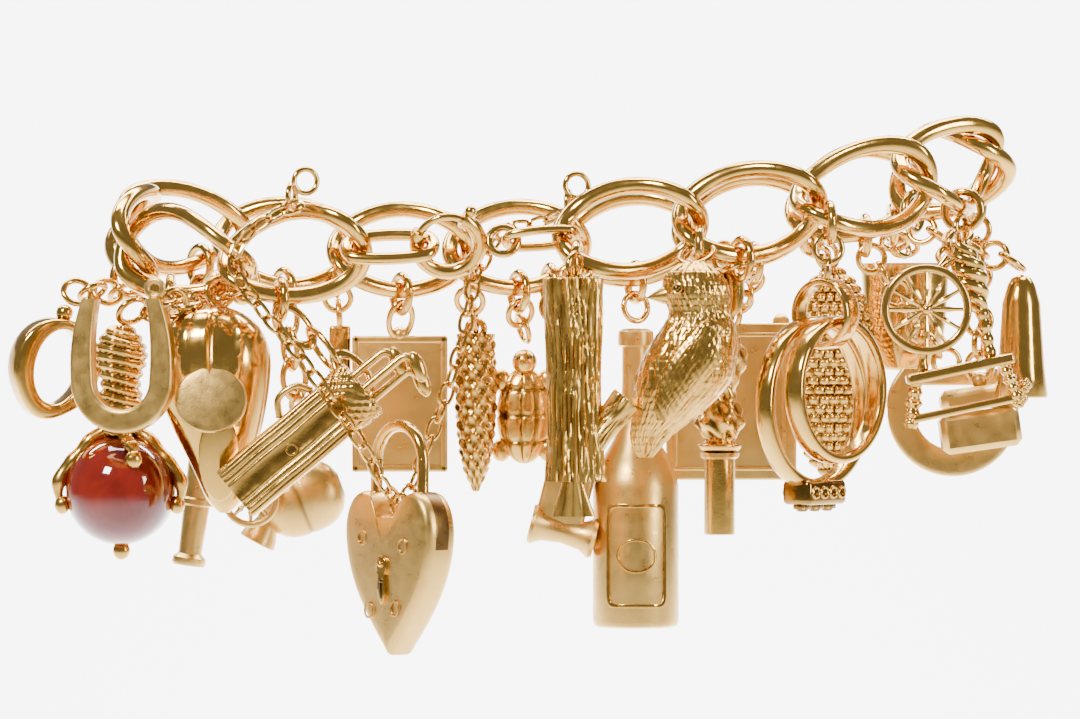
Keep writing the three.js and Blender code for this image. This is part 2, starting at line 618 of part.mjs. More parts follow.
hang('bird', bird(), GOLD, { link: 'link_front_2', at: -135, top: [11.6, -17, -0.4] });
hang('watch_key', watchKey(), ANTIQUE, { link: 'link_front_2', at: -100, top: [14.2, -10, -0.6] });
hang('bail_band', fingerBand(7, 0.7, 2.2, 14).rotateZ(rad(140)), GOLD,
  { link: 'link_front_3', at: -130, top: [24.3, -14.5, -3.6], buried: 0.4 });
hang('spinning_frame', spinningFrame(), GOLD, {
  link: 'link_front_4',
  at: -100,
  top: WHEEL_PLACE,
  more: [{
    label: 'spinning_wheel',
    geometry: spokedWheel(WHEEL, 1, AXLE + 2 * WHEEL_GAP).translate(...WHEEL_CENTRE),
    material: GOLD,
  }],
});
add('wedding_band', fingerBand(14.4, 1.1, 2.2, 20), GOLD, [25.3, -15.3, -7.2], [0, 0, 50]);
const engagementBand = join(fingerBand(17, 1.2, 2, 20), put(box(6.4, 4, 3.2), 0, 0, -17));
add('engagement_band', engagementBand, GOLD, [23.3, -13.7, -7.4], [0, 0, 50]);

// back, from the left
hang('cannon', cannon(), SATIN, { link: 'link_back_7', at: -120, top: [-36, 11, -12] });
hang('whistle', whistle(), SATIN, { link: 'link_back_6', at: -90, top: [-27.6, 13.4, -21] });
hang('flat_bar', put(box(2.2, 1.6, 10.6), 0, 0, -5.8), GOLD, {
  link: 'link_back_6', at: -135, top: [-24, 15, -7.4],
});
hang('flat_plate', flatPlate(), SATIN, { link: 'link_back_5', at: -90, top: [-17.8, 14, -8.4] });
hang('pod', pod(), ANTIQUE, { link: 'link_back_4', at: -50, top: [-10, 14.5, -7.8] });
hang('tortoise', tortoise(), ANTIQUE, { link: 'link_back_4', at: -90, top: [-5, 16, -8.8] });
hang('mallet', put(mallet(), 0, 0, 0, [0, 14, 0]), SATIN, {
  link: 'link_back_4', at: -112, top: [1.4, 10.4, -16],
});
hang('bottle', bottle(), SATIN, { link: 'link_back_3', at: -90, top: [6.4, 11.8, -7] });
hang('book', book(), SATIN, { link: 'link_back_2', at: -90, top: [16.4, 18, -7] });
hang('beaded_drop', beadedDrop(), ANTIQUE, { link: 'link_back_1', at: -50, top: [26.6, 12.4, -1] });
hang('cup', cup().translate(0, 2.75, 0), GOLD, { link: 'link_back_1', at: -108, top: [34.4, 14.9, 0] });
hang('horseshoe_back', join(horseshoe(BACK_SHOE), put(box(11, 1.4, 1.4), 0, 0, -1)), SATIN,
  { link: 'link_back_1', at: -90, top: [38.8, 11.4, -12.4] });
hang('faceted_box', facetedBox(), SATIN, { link: 'link_right_turn', at: -100, top: [41, 6, -13] });
hang('bell', bell(), GOLD, { link: 'link_right_turn', at: -55, top: [44.6, -1.4, -2] });

export default bracelet;
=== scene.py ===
"""Looks for the charm bracelet: polished curb chain, clasp, padlock, safety chains and every charm.

Each piece is a surface worked out as whole arrays in millimetres, then put at its place in metres.
"""
import json
import math

import bmesh
import bpy
import numpy as np
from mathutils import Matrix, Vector


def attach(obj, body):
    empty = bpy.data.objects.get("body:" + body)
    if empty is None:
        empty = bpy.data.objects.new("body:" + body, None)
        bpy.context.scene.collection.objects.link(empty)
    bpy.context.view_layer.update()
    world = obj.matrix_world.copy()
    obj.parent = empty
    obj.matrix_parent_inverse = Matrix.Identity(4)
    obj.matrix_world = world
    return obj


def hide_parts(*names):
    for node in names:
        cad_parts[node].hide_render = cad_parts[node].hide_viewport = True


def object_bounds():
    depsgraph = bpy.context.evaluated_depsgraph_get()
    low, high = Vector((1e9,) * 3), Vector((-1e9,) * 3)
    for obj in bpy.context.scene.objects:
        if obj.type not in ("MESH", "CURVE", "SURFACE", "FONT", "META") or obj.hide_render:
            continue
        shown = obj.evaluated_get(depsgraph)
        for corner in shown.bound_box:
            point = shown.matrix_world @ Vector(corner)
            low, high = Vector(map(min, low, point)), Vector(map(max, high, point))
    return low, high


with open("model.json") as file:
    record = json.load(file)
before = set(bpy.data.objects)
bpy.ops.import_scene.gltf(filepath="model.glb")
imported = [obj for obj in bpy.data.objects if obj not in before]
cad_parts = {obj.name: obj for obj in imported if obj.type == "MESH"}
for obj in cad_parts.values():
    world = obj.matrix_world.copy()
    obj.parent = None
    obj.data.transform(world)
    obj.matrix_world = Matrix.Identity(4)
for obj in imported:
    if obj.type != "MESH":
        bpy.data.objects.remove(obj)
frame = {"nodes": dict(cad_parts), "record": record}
cad_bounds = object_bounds()

MM = 0.001
JOINTS = {row["name"]: np.asarray(row["pos_m"]) / MM for row in frame["record"]["behaviour"]["joints"]}
TAU = 2 * math.pi

# ---- driving dimensions in millimetres, the same as the solids' ----
LINK = {"length": 15.5, "width": 10.0, "wire": 1.7, "twist": math.pi / 2}
CLASP_LINK = {"length": 9.8, "width": 4.9, "wire": 1.2, "twist": 0.0}
OBLONG_LINK = {"length": 7.8, "width": 4.0, "wire": 0.9, "twist": 0.0}
JUMP_RING = {"outer": 4.6, "wire": 0.85}
SMALL_RING = {"outer": 3.3, "wire": 0.62}
BOLT_RING = {"outer": 7.6, "wire": 1.5}
EYE = {"outer": 3.6, "wire": 0.8, "turn": -50}
HEART = {"width": 13.2, "height": 15.5, "thick": 3.6}
SHACKLE = {"wire": 1.15, "span": 7.2, "rise": 8.6}
BALL = 10.8
LOCK_YAW = -50


# ---- arrays ----
def turned_about(points, rx=0.0, ry=0.0, rz=0.0):
    """Points turned by the angles in degrees about X, then Y, then Z in the CAD's XYZ Euler order."""
    a, b, c = np.radians([rx, ry, rz])
    about_x = np.array([[1, 0, 0], [0, math.cos(a), -math.sin(a)], [0, math.sin(a), math.cos(a)]])
    about_y = np.array([[math.cos(b), 0, math.sin(b)], [0, 1, 0], [-math.sin(b), 0, math.cos(b)]])
    about_z = np.array([[math.cos(c), -math.sin(c), 0], [math.sin(c), math.cos(c), 0], [0, 0, 1]])
    return points @ (about_x @ about_y @ about_z).T


def ring_grid(outer, wire, around=40, sides=14):
    """A torus standing in X and Z: centre line of radius R, round section of radius r."""
    u = np.linspace(0, TAU, around, endpoint=False)[:, None]
    v = np.linspace(0, TAU, sides, endpoint=False)[None, :]
    big, small = (outer - wire) / 2, wire / 2
    reach = big + small * np.cos(v)
    return np.stack([reach * np.cos(u), small * np.sin(v) + 0 * u, reach * np.sin(u)], -1)


def link_grid(dims, around=72, sides=16):
    """An oval link: a torus whose ends are moved apart along X, then turned about X in step with x."""
    grid = ring_grid(dims["width"], dims["wire"], around, sides)
    radius = (dims["width"] - dims["wire"]) / 2
    side = np.sin(np.clip(grid[..., 0] / (radius * 0.9), -1, 1) * math.pi / 2)
    x = grid[..., 0] + (dims["length"] - dims["width"]) / 2 * side
    lean = dims["twist"] / 2 * np.clip(2 * x / (dims["length"] - dims["wire"]), -1, 1)
    y = grid[..., 1] * np.cos(lean) - grid[..., 2] * np.sin(lean)
    z = grid[..., 1] * np.sin(lean) + grid[..., 2] * np.cos(lean)
    return np.stack([x, y, z], -1)


def smooth_path(points, steps):
    """A Catmull-Rom curve through the points, sampled evenly in its parameter."""
    p = np.asarray(points, float)
    p = np.vstack([2 * p[0] - p[1], p, 2 * p[-1] - p[-2]])
    t = np.linspace(0, len(p) - 3 - 1e-9, steps)
    i = t.astype(int)
    f = (t - i)[:, None]
    a, b, c, d = p[i], p[i + 1], p[i + 2], p[i + 3]
    return 0.5 * (2 * b + (c - a) * f + (2 * a - 5 * b + 4 * c - d) * f ** 2 + (3 * b - a - 3 * c + d) * f ** 3)


def tube_grid(path, radius, sides=12, up=(0.31, 0.17, 0.93)):
    """A round section carried along a path; the radius may change along it; the ends close to points."""
    path = np.asarray(path, float)
    along = np.gradient(path, axis=0)
    along /= np.linalg.norm(along, axis=1, keepdims=True)
    across = np.cross(along, np.asarray(up))
    across /= np.linalg.norm(across, axis=1, keepdims=True)
    over = np.cross(across, along)
    r = np.broadcast_to(np.asarray(radius, float), len(path))[:, None, None]
    v = np.linspace(0, TAU, sides, endpoint=False)[None, :, None]
    grid = path[:, None] + r * (np.cos(v) * across[:, None] - np.sin(v) * over[:, None])
    first = np.repeat(path[:1], sides, 0)[None]
    last = np.repeat(path[-1:], sides, 0)[None]
    return np.concatenate([first, grid[:1], grid, grid[-1:], last])


def loft_grid(rows, around=48, steps=60, square=2.0):
    """Sections across Z: rows of (z, x, y, half x, half y) joined by smooth curves, superellipses of a power."""
    table = smooth_path(np.asarray(rows, float), steps)
    table[:, 3:] = np.maximum(table[:, 3:], 0.02)
    u = np.linspace(0, TAU, around, endpoint=False)[None, :]
    c, s = np.cos(u), np.sin(u)
    ex = np.sign(c) * np.abs(c) ** (2 / square)
    ey = np.sign(s) * np.abs(s) ** (2 / square)
    z, x, y, hx, hy = (table[:, k][:, None] for k in range(5))
    grid = np.stack([x + hx * ex, y + hy * ey, z + 0 * ex], -1)
    ends = [np.repeat(grid[k].mean(0, keepdims=True), around, 0)[None] for k in (0, -1)]
    return np.concatenate([ends[0], grid, ends[1]])


def lathe_grid(rows, around=40):
    """A profile of (radius, z) turned about Z."""
    p = np.asarray(rows, float)
    u = np.linspace(0, TAU, around, endpoint=False)[None, :]
    return np.stack([p[:, :1] * np.cos(u), p[:, :1] * np.sin(u), p[:, 1:] + 0 * u], -1)


def rounded_box_grid(size, edge=0.25, steps=5):
    """A box with round edges: a small ball's surface pulled apart to the eight corners."""
    half = np.asarray(size) / 2 - edge
    v = np.concatenate([np.linspace(-90, 0, steps), np.linspace(0, 90, steps)])
    u = np.concatenate([np.linspace(a, a + 90, steps) for a in (0, 90, 180, 270)])
    quarter = np.repeat([[1, 1], [-1, 1], [-1, -1], [1, -1]], steps, 0)
    upper = np.repeat([-1, 1], steps)[:, None]
    v, u = np.radians(v)[:, None], np.radians(u)[None, :]
    x = edge * np.cos(v) * np.cos(u) + quarter[None, :, 0] * half[0]
    y = edge * np.cos(v) * np.sin(u) + quarter[None, :, 1] * half[1]
    z = edge * np.sin(v) + upper * half[2] + 0 * u
    grid = np.stack([x, y, z], -1)
    ends = [np.repeat(grid[k].mean(0, keepdims=True), len(quarter), 0)[None] for k in (0, -1)]
    return np.concatenate([ends[0], grid, ends[1]])


def slab_grid(outline, thick, edge=0.35, dome=0.0, rings=6):
    """A plate of a closed outline in X and Z: it shrinks to its middle on both faces and has round edges."""
    out = np.asarray(outline, float)
    middle = out.mean(0)
    reach = np.abs(out - middle).max()
    rows = []
    for inset in np.linspace(0, 1, rings)[:-1]:
        rows.append((inset * (1 - edge / reach), -thick / 2 - dome * (1 - inset ** 2)))
    for angle in np.linspace(0, math.pi / 2, 5):
        rows.append((1 - edge * (1 - math.sin(angle)) / reach, -thick / 2 + edge * (1 - math.cos(angle))))
    rows = rows + [(s, -y) for s, y in rows[::-1]]
    scale = np.array([r[0] for r in rows])[:, None]
    y = np.array([r[1] for r in rows])[:, None]
    x = middle[0] + (out[:, 0] - middle[0])[None] * scale
    z = middle[1] + (out[:, 1] - middle[1])[None] * scale
    return np.stack([x, y + 0 * x, z], -1)


# ---- meshes ----
def grid_faces(rows, columns, close_rows):
    """Quads of a grid that closes round its columns, and round its rows when asked."""
    r = np.arange(rows if close_rows else rows - 1)[:, None]
    c = np.arange(columns)[None, :]
    a = r * columns + c
    b = r * columns + (c + 1) % columns
    d = (r + 1) % rows * columns + c
    e = (r + 1) % rows * columns + (c + 1) % columns
    return np.stack([a, b, e, d], -1).reshape(-1, 4)


def make(name, grids, finish, body="root", place=(0, 0, 0), turn=(0, 0, 0), node=None, sharp=40):
    """One piece from closed grids; each grid is (points, closes along its rows) or points with closed ends."""
    points, faces, shades, count = [], [], [], 0
    for grid in grids:
        grid, closed = grid if isinstance(grid, tuple) else (grid, False)
        painted_shade = np.zeros(grid.shape[:2])
        if grid.shape[-1] == 4:
            painted_shade = grid[..., 3]
            grid = grid[..., :3]
        faces.append(grid_faces(*grid.shape[:2], closed) + count)
        points.append(grid.reshape(-1, 3))
        shades.append(painted_shade.reshape(-1))
        count += grid.shape[0] * grid.shape[1]
    where = turned_about(np.concatenate(points), *turn) + np.asarray(place)
    mesh = bpy.data.meshes.new(name)
    mesh.from_pydata((where * MM).tolist(), [], np.concatenate(faces).tolist())
    # painted shade: the fourth numbers become a per-point attribute that the gold materials turn into darkening in
    # hollows
    mesh.attributes.new("painted_shade", "FLOAT", "POINT").data.foreach_set("value", np.concatenate(shades).astype("f4"))
    tidy_mesh(mesh, sharp)
    piece = bpy.data.objects.new(name, mesh)
    bpy.context.scene.collection.objects.link(piece)
    mesh.materials.append(MATERIALS[finish])
    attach(piece, body)
    if node:
        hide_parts(*([node] if isinstance(node, str) else node))
    return piece


def tidy_mesh(mesh, sharp):
    """Doubles at poles merged, faces turned outwards, smooth except at real edges."""
    work = bmesh.new()
    work.from_mesh(mesh)
    bmesh.ops.remove_doubles(work, verts=work.verts, dist=1e-7)
    bmesh.ops.dissolve_degenerate(work, edges=work.edges, dist=1e-8)
    bmesh.ops.recalc_face_normals(work, faces=work.faces)
    work.to_mesh(mesh)
    work.free()
    mesh.polygons.foreach_set("use_smooth", np.ones(len(mesh.polygons), bool))
    mesh.set_sharp_from_angle(angle=math.radians(sharp))


def add_painted_shade(grid, painted_shade):
    """The grid with a fourth number, 0 to 1: how much painted shade each point gets, most where it lies deep in a
    hollow.
    """
    return np.concatenate([grid, np.broadcast_to(painted_shade, grid.shape[:2])[..., None]], -1)


def bumped(grid, height, painted_shade=None, middle=None):
    """Points moved away from the middle line of the grid by a height in millimetres, each given an amount of painted
    shade.
    """
    centre = grid.mean(1, keepdims=True) if middle is None else middle
    away = grid - centre
    away[..., 2] = 0
    length = np.maximum(np.linalg.norm(away, axis=-1, keepdims=True), 1e-6)
    moved = grid + away / length * np.asarray(height)[..., None] * np.minimum(length, 1)
    return add_painted_shade(moved, np.zeros(grid.shape[:2]) if painted_shade is None else painted_shade)


# ---- materials ----
def nodes_of(name):
    material = bpy.data.materials.new(name)
    material.use_nodes = True
    tree = material.node_tree
    return material, tree, tree.nodes["Principled BSDF"]


def gold(name, light, deep, rough, rough_spread, grain, grain_scale, stretch=(1, 1, 1), dark=0.9):
    """Metal with slow colour drift, worn patches of roughness, a fine grain, and painted shade in its hollows."""
    material, tree, shader = nodes_of(name)
    new, link = tree.nodes.new, tree.links.new
    place = new("ShaderNodeTexCoord")
    mapping = new("ShaderNodeMapping")
    mapping.inputs["Scale"].default_value = stretch
    link(place.outputs["Object"], mapping.inputs["Vector"])
    drift = new("ShaderNodeTexNoise")
    drift.inputs["Scale"].default_value = 260
    drift.inputs["Detail"].default_value = 3
    link(place.outputs["Object"], drift.inputs["Vector"])
    colour = new("ShaderNodeMix")
    colour.data_type = "RGBA"
    colour.inputs["A"].default_value = (*light, 1)
    colour.inputs["B"].default_value = (*deep, 1)
    link(drift.outputs["Fac"], colour.inputs["Factor"])
    # painted shade: a dark brown is mixed into the colour by the per-point attribute, standing for the shade that falls
    # in hollows
    shade_mix = new("ShaderNodeMix")
    shade_mix.data_type = "RGBA"
    shade_mix.inputs["B"].default_value = (0.075, 0.035, 0.012, 1)
    attribute = new("ShaderNodeAttribute")
    attribute.attribute_name = "painted_shade"
    depth = new("ShaderNodeMath")
    depth.operation = "MULTIPLY"
    depth.inputs[1].default_value = dark
    link(attribute.outputs["Fac"], depth.inputs[0])
    link(depth.outputs["Value"], shade_mix.inputs["Factor"])
    link(colour.outputs["Result"], shade_mix.inputs["A"])
    link(shade_mix.outputs["Result"], shader.inputs["Base Color"])
    wear = new("ShaderNodeTexNoise")
    wear.inputs["Scale"].default_value = 900
    wear.inputs["Detail"].default_value = 6
    link(mapping.outputs["Vector"], wear.inputs["Vector"])
    spread = new("ShaderNodeMapRange")
    spread.inputs["From Min"].default_value = 0.3
    spread.inputs["From Max"].default_value = 0.7
    spread.inputs["To Min"].default_value = rough
    spread.inputs["To Max"].default_value = rough + rough_spread
    link(wear.outputs["Fac"], spread.inputs["Value"])
    link(spread.outputs["Result"], shader.inputs["Roughness"])
    fine = new("ShaderNodeTexNoise")
    fine.inputs["Scale"].default_value = grain_scale
    fine.inputs["Detail"].default_value = 4
    link(mapping.outputs["Vector"], fine.inputs["Vector"])
    bump = new("ShaderNodeBump")
    bump.inputs["Strength"].default_value = grain
    bump.inputs["Distance"].default_value = 0.00006
    link(fine.outputs["Fac"], bump.inputs["Height"])
    link(bump.outputs["Normal"], shader.inputs["Normal"])
    shader.inputs["Metallic"].default_value = 1.0
    return material


def carnelian():
    """Polished red-brown stone: slow cloudy bands from orange to dark red under a clear coat."""
    material, tree, shader = nodes_of("carnelian")
    new, link = tree.nodes.new, tree.links.new
    place = new("ShaderNodeTexCoord")
    cloud = new("ShaderNodeTexNoise")
    cloud.inputs["Scale"].default_value = 170
    cloud.inputs["Detail"].default_value = 5
    cloud.inputs["Distortion"].default_value = 1.2
    link(place.outputs["Object"], cloud.inputs["Vector"])
    ramp = new("ShaderNodeValToRGB")
    ramp.color_ramp.elements[0].position = 0.3
    ramp.color_ramp.elements[0].color = (0.11, 0.005, 0.002, 1)
    ramp.color_ramp.elements[1].position = 0.72
    ramp.color_ramp.elements[1].color = (0.24, 0.014, 0.003, 1)
    link(cloud.outputs["Fac"], ramp.inputs["Fac"])
    link(ramp.outputs["Color"], shader.inputs["Base Color"])
    shader.inputs["Roughness"].default_value = 0.07
    shader.inputs["Subsurface Weight"].default_value = 0.08
    shader.inputs["Subsurface Radius"].default_value = (0.004, 0.0008, 0.0002)
    shader.inputs["Subsurface Scale"].default_value = 0.6
    shader.inputs["Coat Weight"].default_value = 0.6
    shader.inputs["Coat Roughness"].default_value = 0.03
    return material


MATERIALS = {
    "polished": gold("polished_gold", (0.82, 0.50, 0.115), (0.62, 0.34, 0.065), 0.085, 0.12, 0.10, 2600),
    "satin": gold("satin_gold", (0.78, 0.49, 0.135), (0.60, 0.35, 0.085), 0.26, 0.14, 0.32, 5200),
    "antique": gold("antique_gold", (0.81, 0.49, 0.11), (0.60, 0.32, 0.06), 0.15, 0.14, 0.22, 3600),
    "grained": gold("grained_gold", (0.80, 0.49, 0.11), (0.60, 0.33, 0.065), 0.20, 0.14, 0.35, 2600, (1.5, 1.5, 0.25)),
    "carnelian": carnelian(),
}


# ---- the loop: each link's frame is read from its solid ----
def frame_of(node, forward):
    """Centre and axes of a link's solid: its directions of most and least spread, X pointing forward, Z up."""
    mesh = frame["nodes"][node].data
    points = np.empty(len(mesh.vertices) * 3)
    mesh.vertices.foreach_get("co", points)
    points = np.unique(np.round(points.reshape(-1, 3) / MM, 4), axis=0)
    centre = points.mean(0)
    _, axes = np.linalg.eigh(np.cov((points - centre).T))
    along = axes[:, 2] * np.sign(axes[:, 2] @ np.asarray(forward, float))
    up = axes[:, 1] * (1 if axes[2, 1] >= 0 else -1)
    return centre, np.stack([along, np.cross(up, along), up], 1)


FOOT = {"mallet": 5.0, "talon": 30.0, "faceted_box": 30.0, "pointed_ring": 5.0, "padlock_heart": 30.0}


def foot(points, reach):
    """The middle of the lowest few millimetres of some points, at the height of the lowest one."""
    low = points[:, 2].min()
    slab = points[points[:, 2] < low + reach]
    middle = (slab.min(0) + slab.max(0)) / 2
    return np.array([middle[0], middle[1], low])


def hung_at(node, grids, turn=(0, 0, 0)):
    """Where a charm's origin lies: its lowest part is set on the lowest part of its solid."""
    mesh = frame["nodes"][node].data
    solid = np.empty(len(mesh.vertices) * 3)
    mesh.vertices.foreach_get("co", solid)
    shape = [(g[0] if isinstance(g, tuple) else g)[..., :3].reshape(-1, 3) for g in grids]
    reach = FOOT.get(node, 1.2)
    return foot(solid.reshape(-1, 3) / MM, reach) - foot(turned_about(np.concatenate(shape), *turn), reach)


FORWARD = {
    "link_front_1": (1, 0, 0), "link_front_2": (1, 0, 0), "link_front_3": (1, 0, 0), "link_front_4": (1, 1, 0),
    "link_right_turn": (-0.5, 1, 0), "link_left_turn": (0, -1, 0), "link_front_6": (1, -0.5, 0),
    "link_front_5": (1, 0, 0),
}
FORWARD.update({f"link_back_{i}": (-1, 0, 0) for i in range(1, 8)})
FRAMES = {name: frame_of(name, way) for name, way in FORWARD.items()}

for name, (centre, axes) in FRAMES.items():
    make(name + "_shape", [(link_grid(LINK) @ axes.T + centre, True)], "polished", node=name)
for name, dims in (("clasp_link", CLASP_LINK), ("oblong_link", OBLONG_LINK)):
    centre, axes = frame_of(name, (1, 0, 0))
    make(name + "_shape", [(link_grid(dims, 48, 14) @ axes.T + centre, True)], "polished", node=name)


# ---- charm rings: one round the link's wire, then more down to the charm ----
def wire_point(link, degrees):
    """A point on a link's bent wire, 0 at its right end and -90 underneath, and the wire's direction there."""
    centre, axes = FRAMES[link]
    radius = (LINK["width"] - LINK["wire"]) / 2
    t = np.radians([degrees, degrees + 2])
    side = np.sin(np.clip(np.cos(t) / 0.9, -1, 1) * math.pi / 2)
    x = radius * np.cos(t) + (LINK["length"] - LINK["width"]) / 2 * side
    lean = LINK["twist"] / 2 * np.clip(2 * x / (LINK["length"] - LINK["wire"]), -1, 1)
    z = radius * np.sin(t)
    points = np.stack([x, -z * np.sin(lean), z * np.cos(lean)], -1) @ axes.T + centre
    return points[0], points[1] - points[0]


def rings_down(name, link, degrees, top, count=None):
    """Jump rings in a row from the link's wire to the charm, each square to the one above it."""
    eye, run = wire_point(link, degrees)
    heading = math.degrees(math.atan2(run[1], run[0]))
    first = eye - np.array([0, 0, 0.35])
    end = np.asarray(top, float) - (0, 0, 0.2)
    grids = []
    hang_from = first - np.array([0, 0, JUMP_RING["outer"] / 2 - JUMP_RING["wire"]])
    gap = end - hang_from
    step = SMALL_RING["outer"] - 2 * SMALL_RING["wire"] + 0.1
    number = count if count is not None else max(1, int(round(np.linalg.norm(gap) / step)))
    swing = math.degrees(math.atan2(hang_from[0] - end[0], max(hang_from[2] - end[2], 0.5)))
    push = math.degrees(math.atan2(hang_from[1] - end[1], max(hang_from[2] - end[2], 0.5)))
    hoop = turned_about(ring_grid(**JUMP_RING), rz=90 + heading)
    grids.append((hoop + first, True))
    for i in range(number):
        stretch = max(1.0, np.linalg.norm(gap) / number / step)
        small = ring_grid(**SMALL_RING) * np.array([1, 1, stretch])
        small = turned_about(small, rz=heading + (0 if i % 2 == 0 else 90))
        small = turned_about(small, rx=-push * 0.7, ry=swing * 0.7)
        grids.append((small + hang_from + gap * (i + 0.5) / number, True))
    make(name + "_rings", grids, "polished")


def charm(name, grids, finish, link, at, turn=(0, 0, 0), count=None, extra=()):
    """A charm drawn below its own origin and hung on its solid; extra: (suffix, grids, finish)."""
    top = hung_at(name, grids, turn)
    make(name + "_shape", grids, finish, place=top, turn=turn, node=name)
    for suffix, more, other in extra:
        make(f"{name}_{suffix}", more, other, place=top, turn=turn)
    rings_down(name, link, at, top, count)
    return top


# ---- small building shapes, each placed inside its charm ----
def put(grid, x=0, y=0, z=0, turn=(0, 0, 0)):
    closed = isinstance(grid, tuple)
    points = grid[0] if closed else grid
    moved = turned_about(points[..., :3], *turn) + (x, y, z)
    if points.shape[-1] == 4:
        moved = add_painted_shade(moved, points[..., 3])
    return (moved, True) if closed else moved


def ball_grid(diameter, columns=32, rows=20, scale=(1, 1, 1)):
    """A sphere by latitude and longitude, stretched along its axes."""
    v = np.linspace(-math.pi / 2, math.pi / 2, rows)
    profile = np.stack([np.maximum(np.cos(v), 1e-4), np.sin(v)], -1) * diameter / 2
    return lathe_grid(profile, columns) * np.asarray(scale)


def bar(start, end, diameter, sides=12, taper=1.0):
    """A straight round bar with slightly rounded ends."""
    t = np.linspace(0, 1, 14)[:, None]
    path = np.asarray(start, float) * (1 - t) + np.asarray(end, float) * t
    radius = diameter / 2 * (1 + (taper - 1) * t[:, 0]) * (1 - 0.35 * np.abs(2 * t[:, 0] - 1) ** 12)
    return tube_grid(path, radius, sides)


def curve(points, diameter, steps=28, sides=12, taper=1.0):
    """A round wire through a few points; taper is the end's size over the start's."""
    t = np.linspace(0, 1, steps)
    return tube_grid(smooth_path(points, steps), diameter / 2 * (1 + (taper - 1) * t), sides)


def rim_grid(inner, outer, thick, power=5.0, sides=28):
    """A strip between two outlines in X and Z, with a rounded-square section of the given thickness in Y."""
    inner, outer = np.asarray(inner, float), np.asarray(outer, float)
    v = np.linspace(0, TAU, sides, endpoint=False)[None, :]
    c = np.sign(np.cos(v)) * np.abs(np.cos(v)) ** (2 / power)
    s = np.sign(np.sin(v)) * np.abs(np.sin(v)) ** (2 / power)
    middle, half = (inner + outer) / 2, (outer - inner) / 2
    x = middle[:, :1] + half[:, :1] * c
    z = middle[:, 1:] + half[:, 1:] * c
    return np.stack([x, thick / 2 * s + 0 * x, z], -1)


def closed_ends(grid):
    """The grid with both of its end rows drawn together to a point."""
    ends = [np.repeat(grid[k].mean(0, keepdims=True), grid.shape[1], 0)[None] for k in (0, -1)]
    return np.concatenate([ends[0], grid[:1], grid, grid[-1:], ends[1]])


def ellipse(half_x, half_z, x=0.0, z=0.0, count=72, start=0.0, end=TAU, closed=True):
    t = np.linspace(start, end, count, endpoint=not closed)
    return np.stack([x + half_x * np.cos(t), z + half_z * np.sin(t)], -1)


def bezier(*spans, steps=12):
    """An outline from cubic spans, each four points; the last point of a span is left to the next one."""
    t = np.linspace(0, 1, steps, endpoint=False)[:, None]
    parts = []
    for a, b, c, d in np.asarray(spans, float):
        parts.append((1 - t) ** 3 * a + 3 * t * (1 - t) ** 2 * b + 3 * t ** 2 * (1 - t) * c + t ** 3 * d)
    return np.concatenate(parts)


def grooves(around, along, seed, bands=9, depth=1.0, twist=1.5):
    """Uneven grooves: a sum of waves round the body whose phase wanders along it, from -1 to 1."""
    rng = np.random.default_rng(seed)
    total = 0
    for k in range(bands):
        turns = rng.integers(5, 26)
        wander = rng.uniform(-1, 1) * twist * np.sin(along * rng.uniform(0.2, 1.1) + rng.uniform(0, 6))
        total = total + np.sin(turns * around + wander * 3 + rng.uniform(0, 6)) / (1 + 0.15 * k)
    return depth * total / np.abs(total).max()


def angles_of(grid):
    """Angle round the middle line and height along it, for each point of a lofted grid."""
    centre = grid.mean(1, keepdims=True)
    return np.arctan2(grid[..., 1] - centre[..., 1], grid[..., 0] - centre[..., 0]), grid[..., 2]


# ---- bolt ring ----
def arc_wire(radius, start, end, diameter, steps=40, sides=14, taper=None):
    """A round wire along part of a circle in X and Z, angles in degrees."""
    t = np.radians(np.linspace(start, end, steps))
    path = np.stack([radius * np.cos(t), 0 * t, radius * np.sin(t)], -1)
    size = diameter / 2 if taper is None else diameter / 2 * taper(np.linspace(0, 1, steps))
    return tube_grid(path, size, sides, up=(0, 1, 0))


def bolt_ring():
    """An open tube ring with collars at its mouth, an eye on its right, and the thin sprung bolt with its knob."""
    record_joint = next(j for j in frame["record"]["behaviour"]["joints"] if j["name"] == "trigger_slide")
    pivot = np.asarray(record_joint["pos_m"]) / MM
    normal = np.asarray(record_joint["axis"], float)
    normal /= np.linalg.norm(normal)
    eye_at = (BOLT_RING["outer"] + EYE["outer"]) / 2 - 0.25
    oblong_centre = frame_of("oblong_link", (1, 0, 0))[0]
    along = oblong_centre - pivot
    along -= normal * (along @ normal)
    along /= np.linalg.norm(along)
    basis = np.stack([along, normal, np.cross(along, normal)], 1)
    radius = (BOLT_RING["outer"] - BOLT_RING["wire"]) / 2
    tube = [
        arc_wire(radius, 150, 422, BOLT_RING["wire"], 90),
        arc_wire(radius, 52, 62, BOLT_RING["wire"] * 1.18, 8),
        arc_wire(radius, 150, 157, BOLT_RING["wire"] * 1.12, 8),
        (turned_about(ring_grid(EYE["outer"], EYE["wire"]), rx=EYE["turn"]) + (eye_at, 0, 0), True),
    ]
    make("bolt_ring_shape", [spun(g, basis) for g in tube], "polished", place=pivot, node="bolt_ring")
    knob = radius + 1.15
    at = math.radians(56)
    bolt = [
        arc_wire(radius, 44, 152, 0.75, 40),
        bar(((radius + 0.3) * math.cos(at), 0, (radius + 0.3) * math.sin(at)),
            (knob * math.cos(at), 0, knob * math.sin(at)), 0.5),
        ball_grid(1.15, 20, 12) + (knob * math.cos(at), 0, knob * math.sin(at)),
    ]
    make("bolt_trigger_shape", [spun(g, basis) for g in bolt], "polished", "trigger", place=pivot,
         node="bolt_trigger")


def spun(grid, basis):
    """The grid's points written in another set of axes."""
    if isinstance(grid, tuple):
        return (grid[0] @ basis.T, True)
    return grid @ basis.T


bolt_ring()


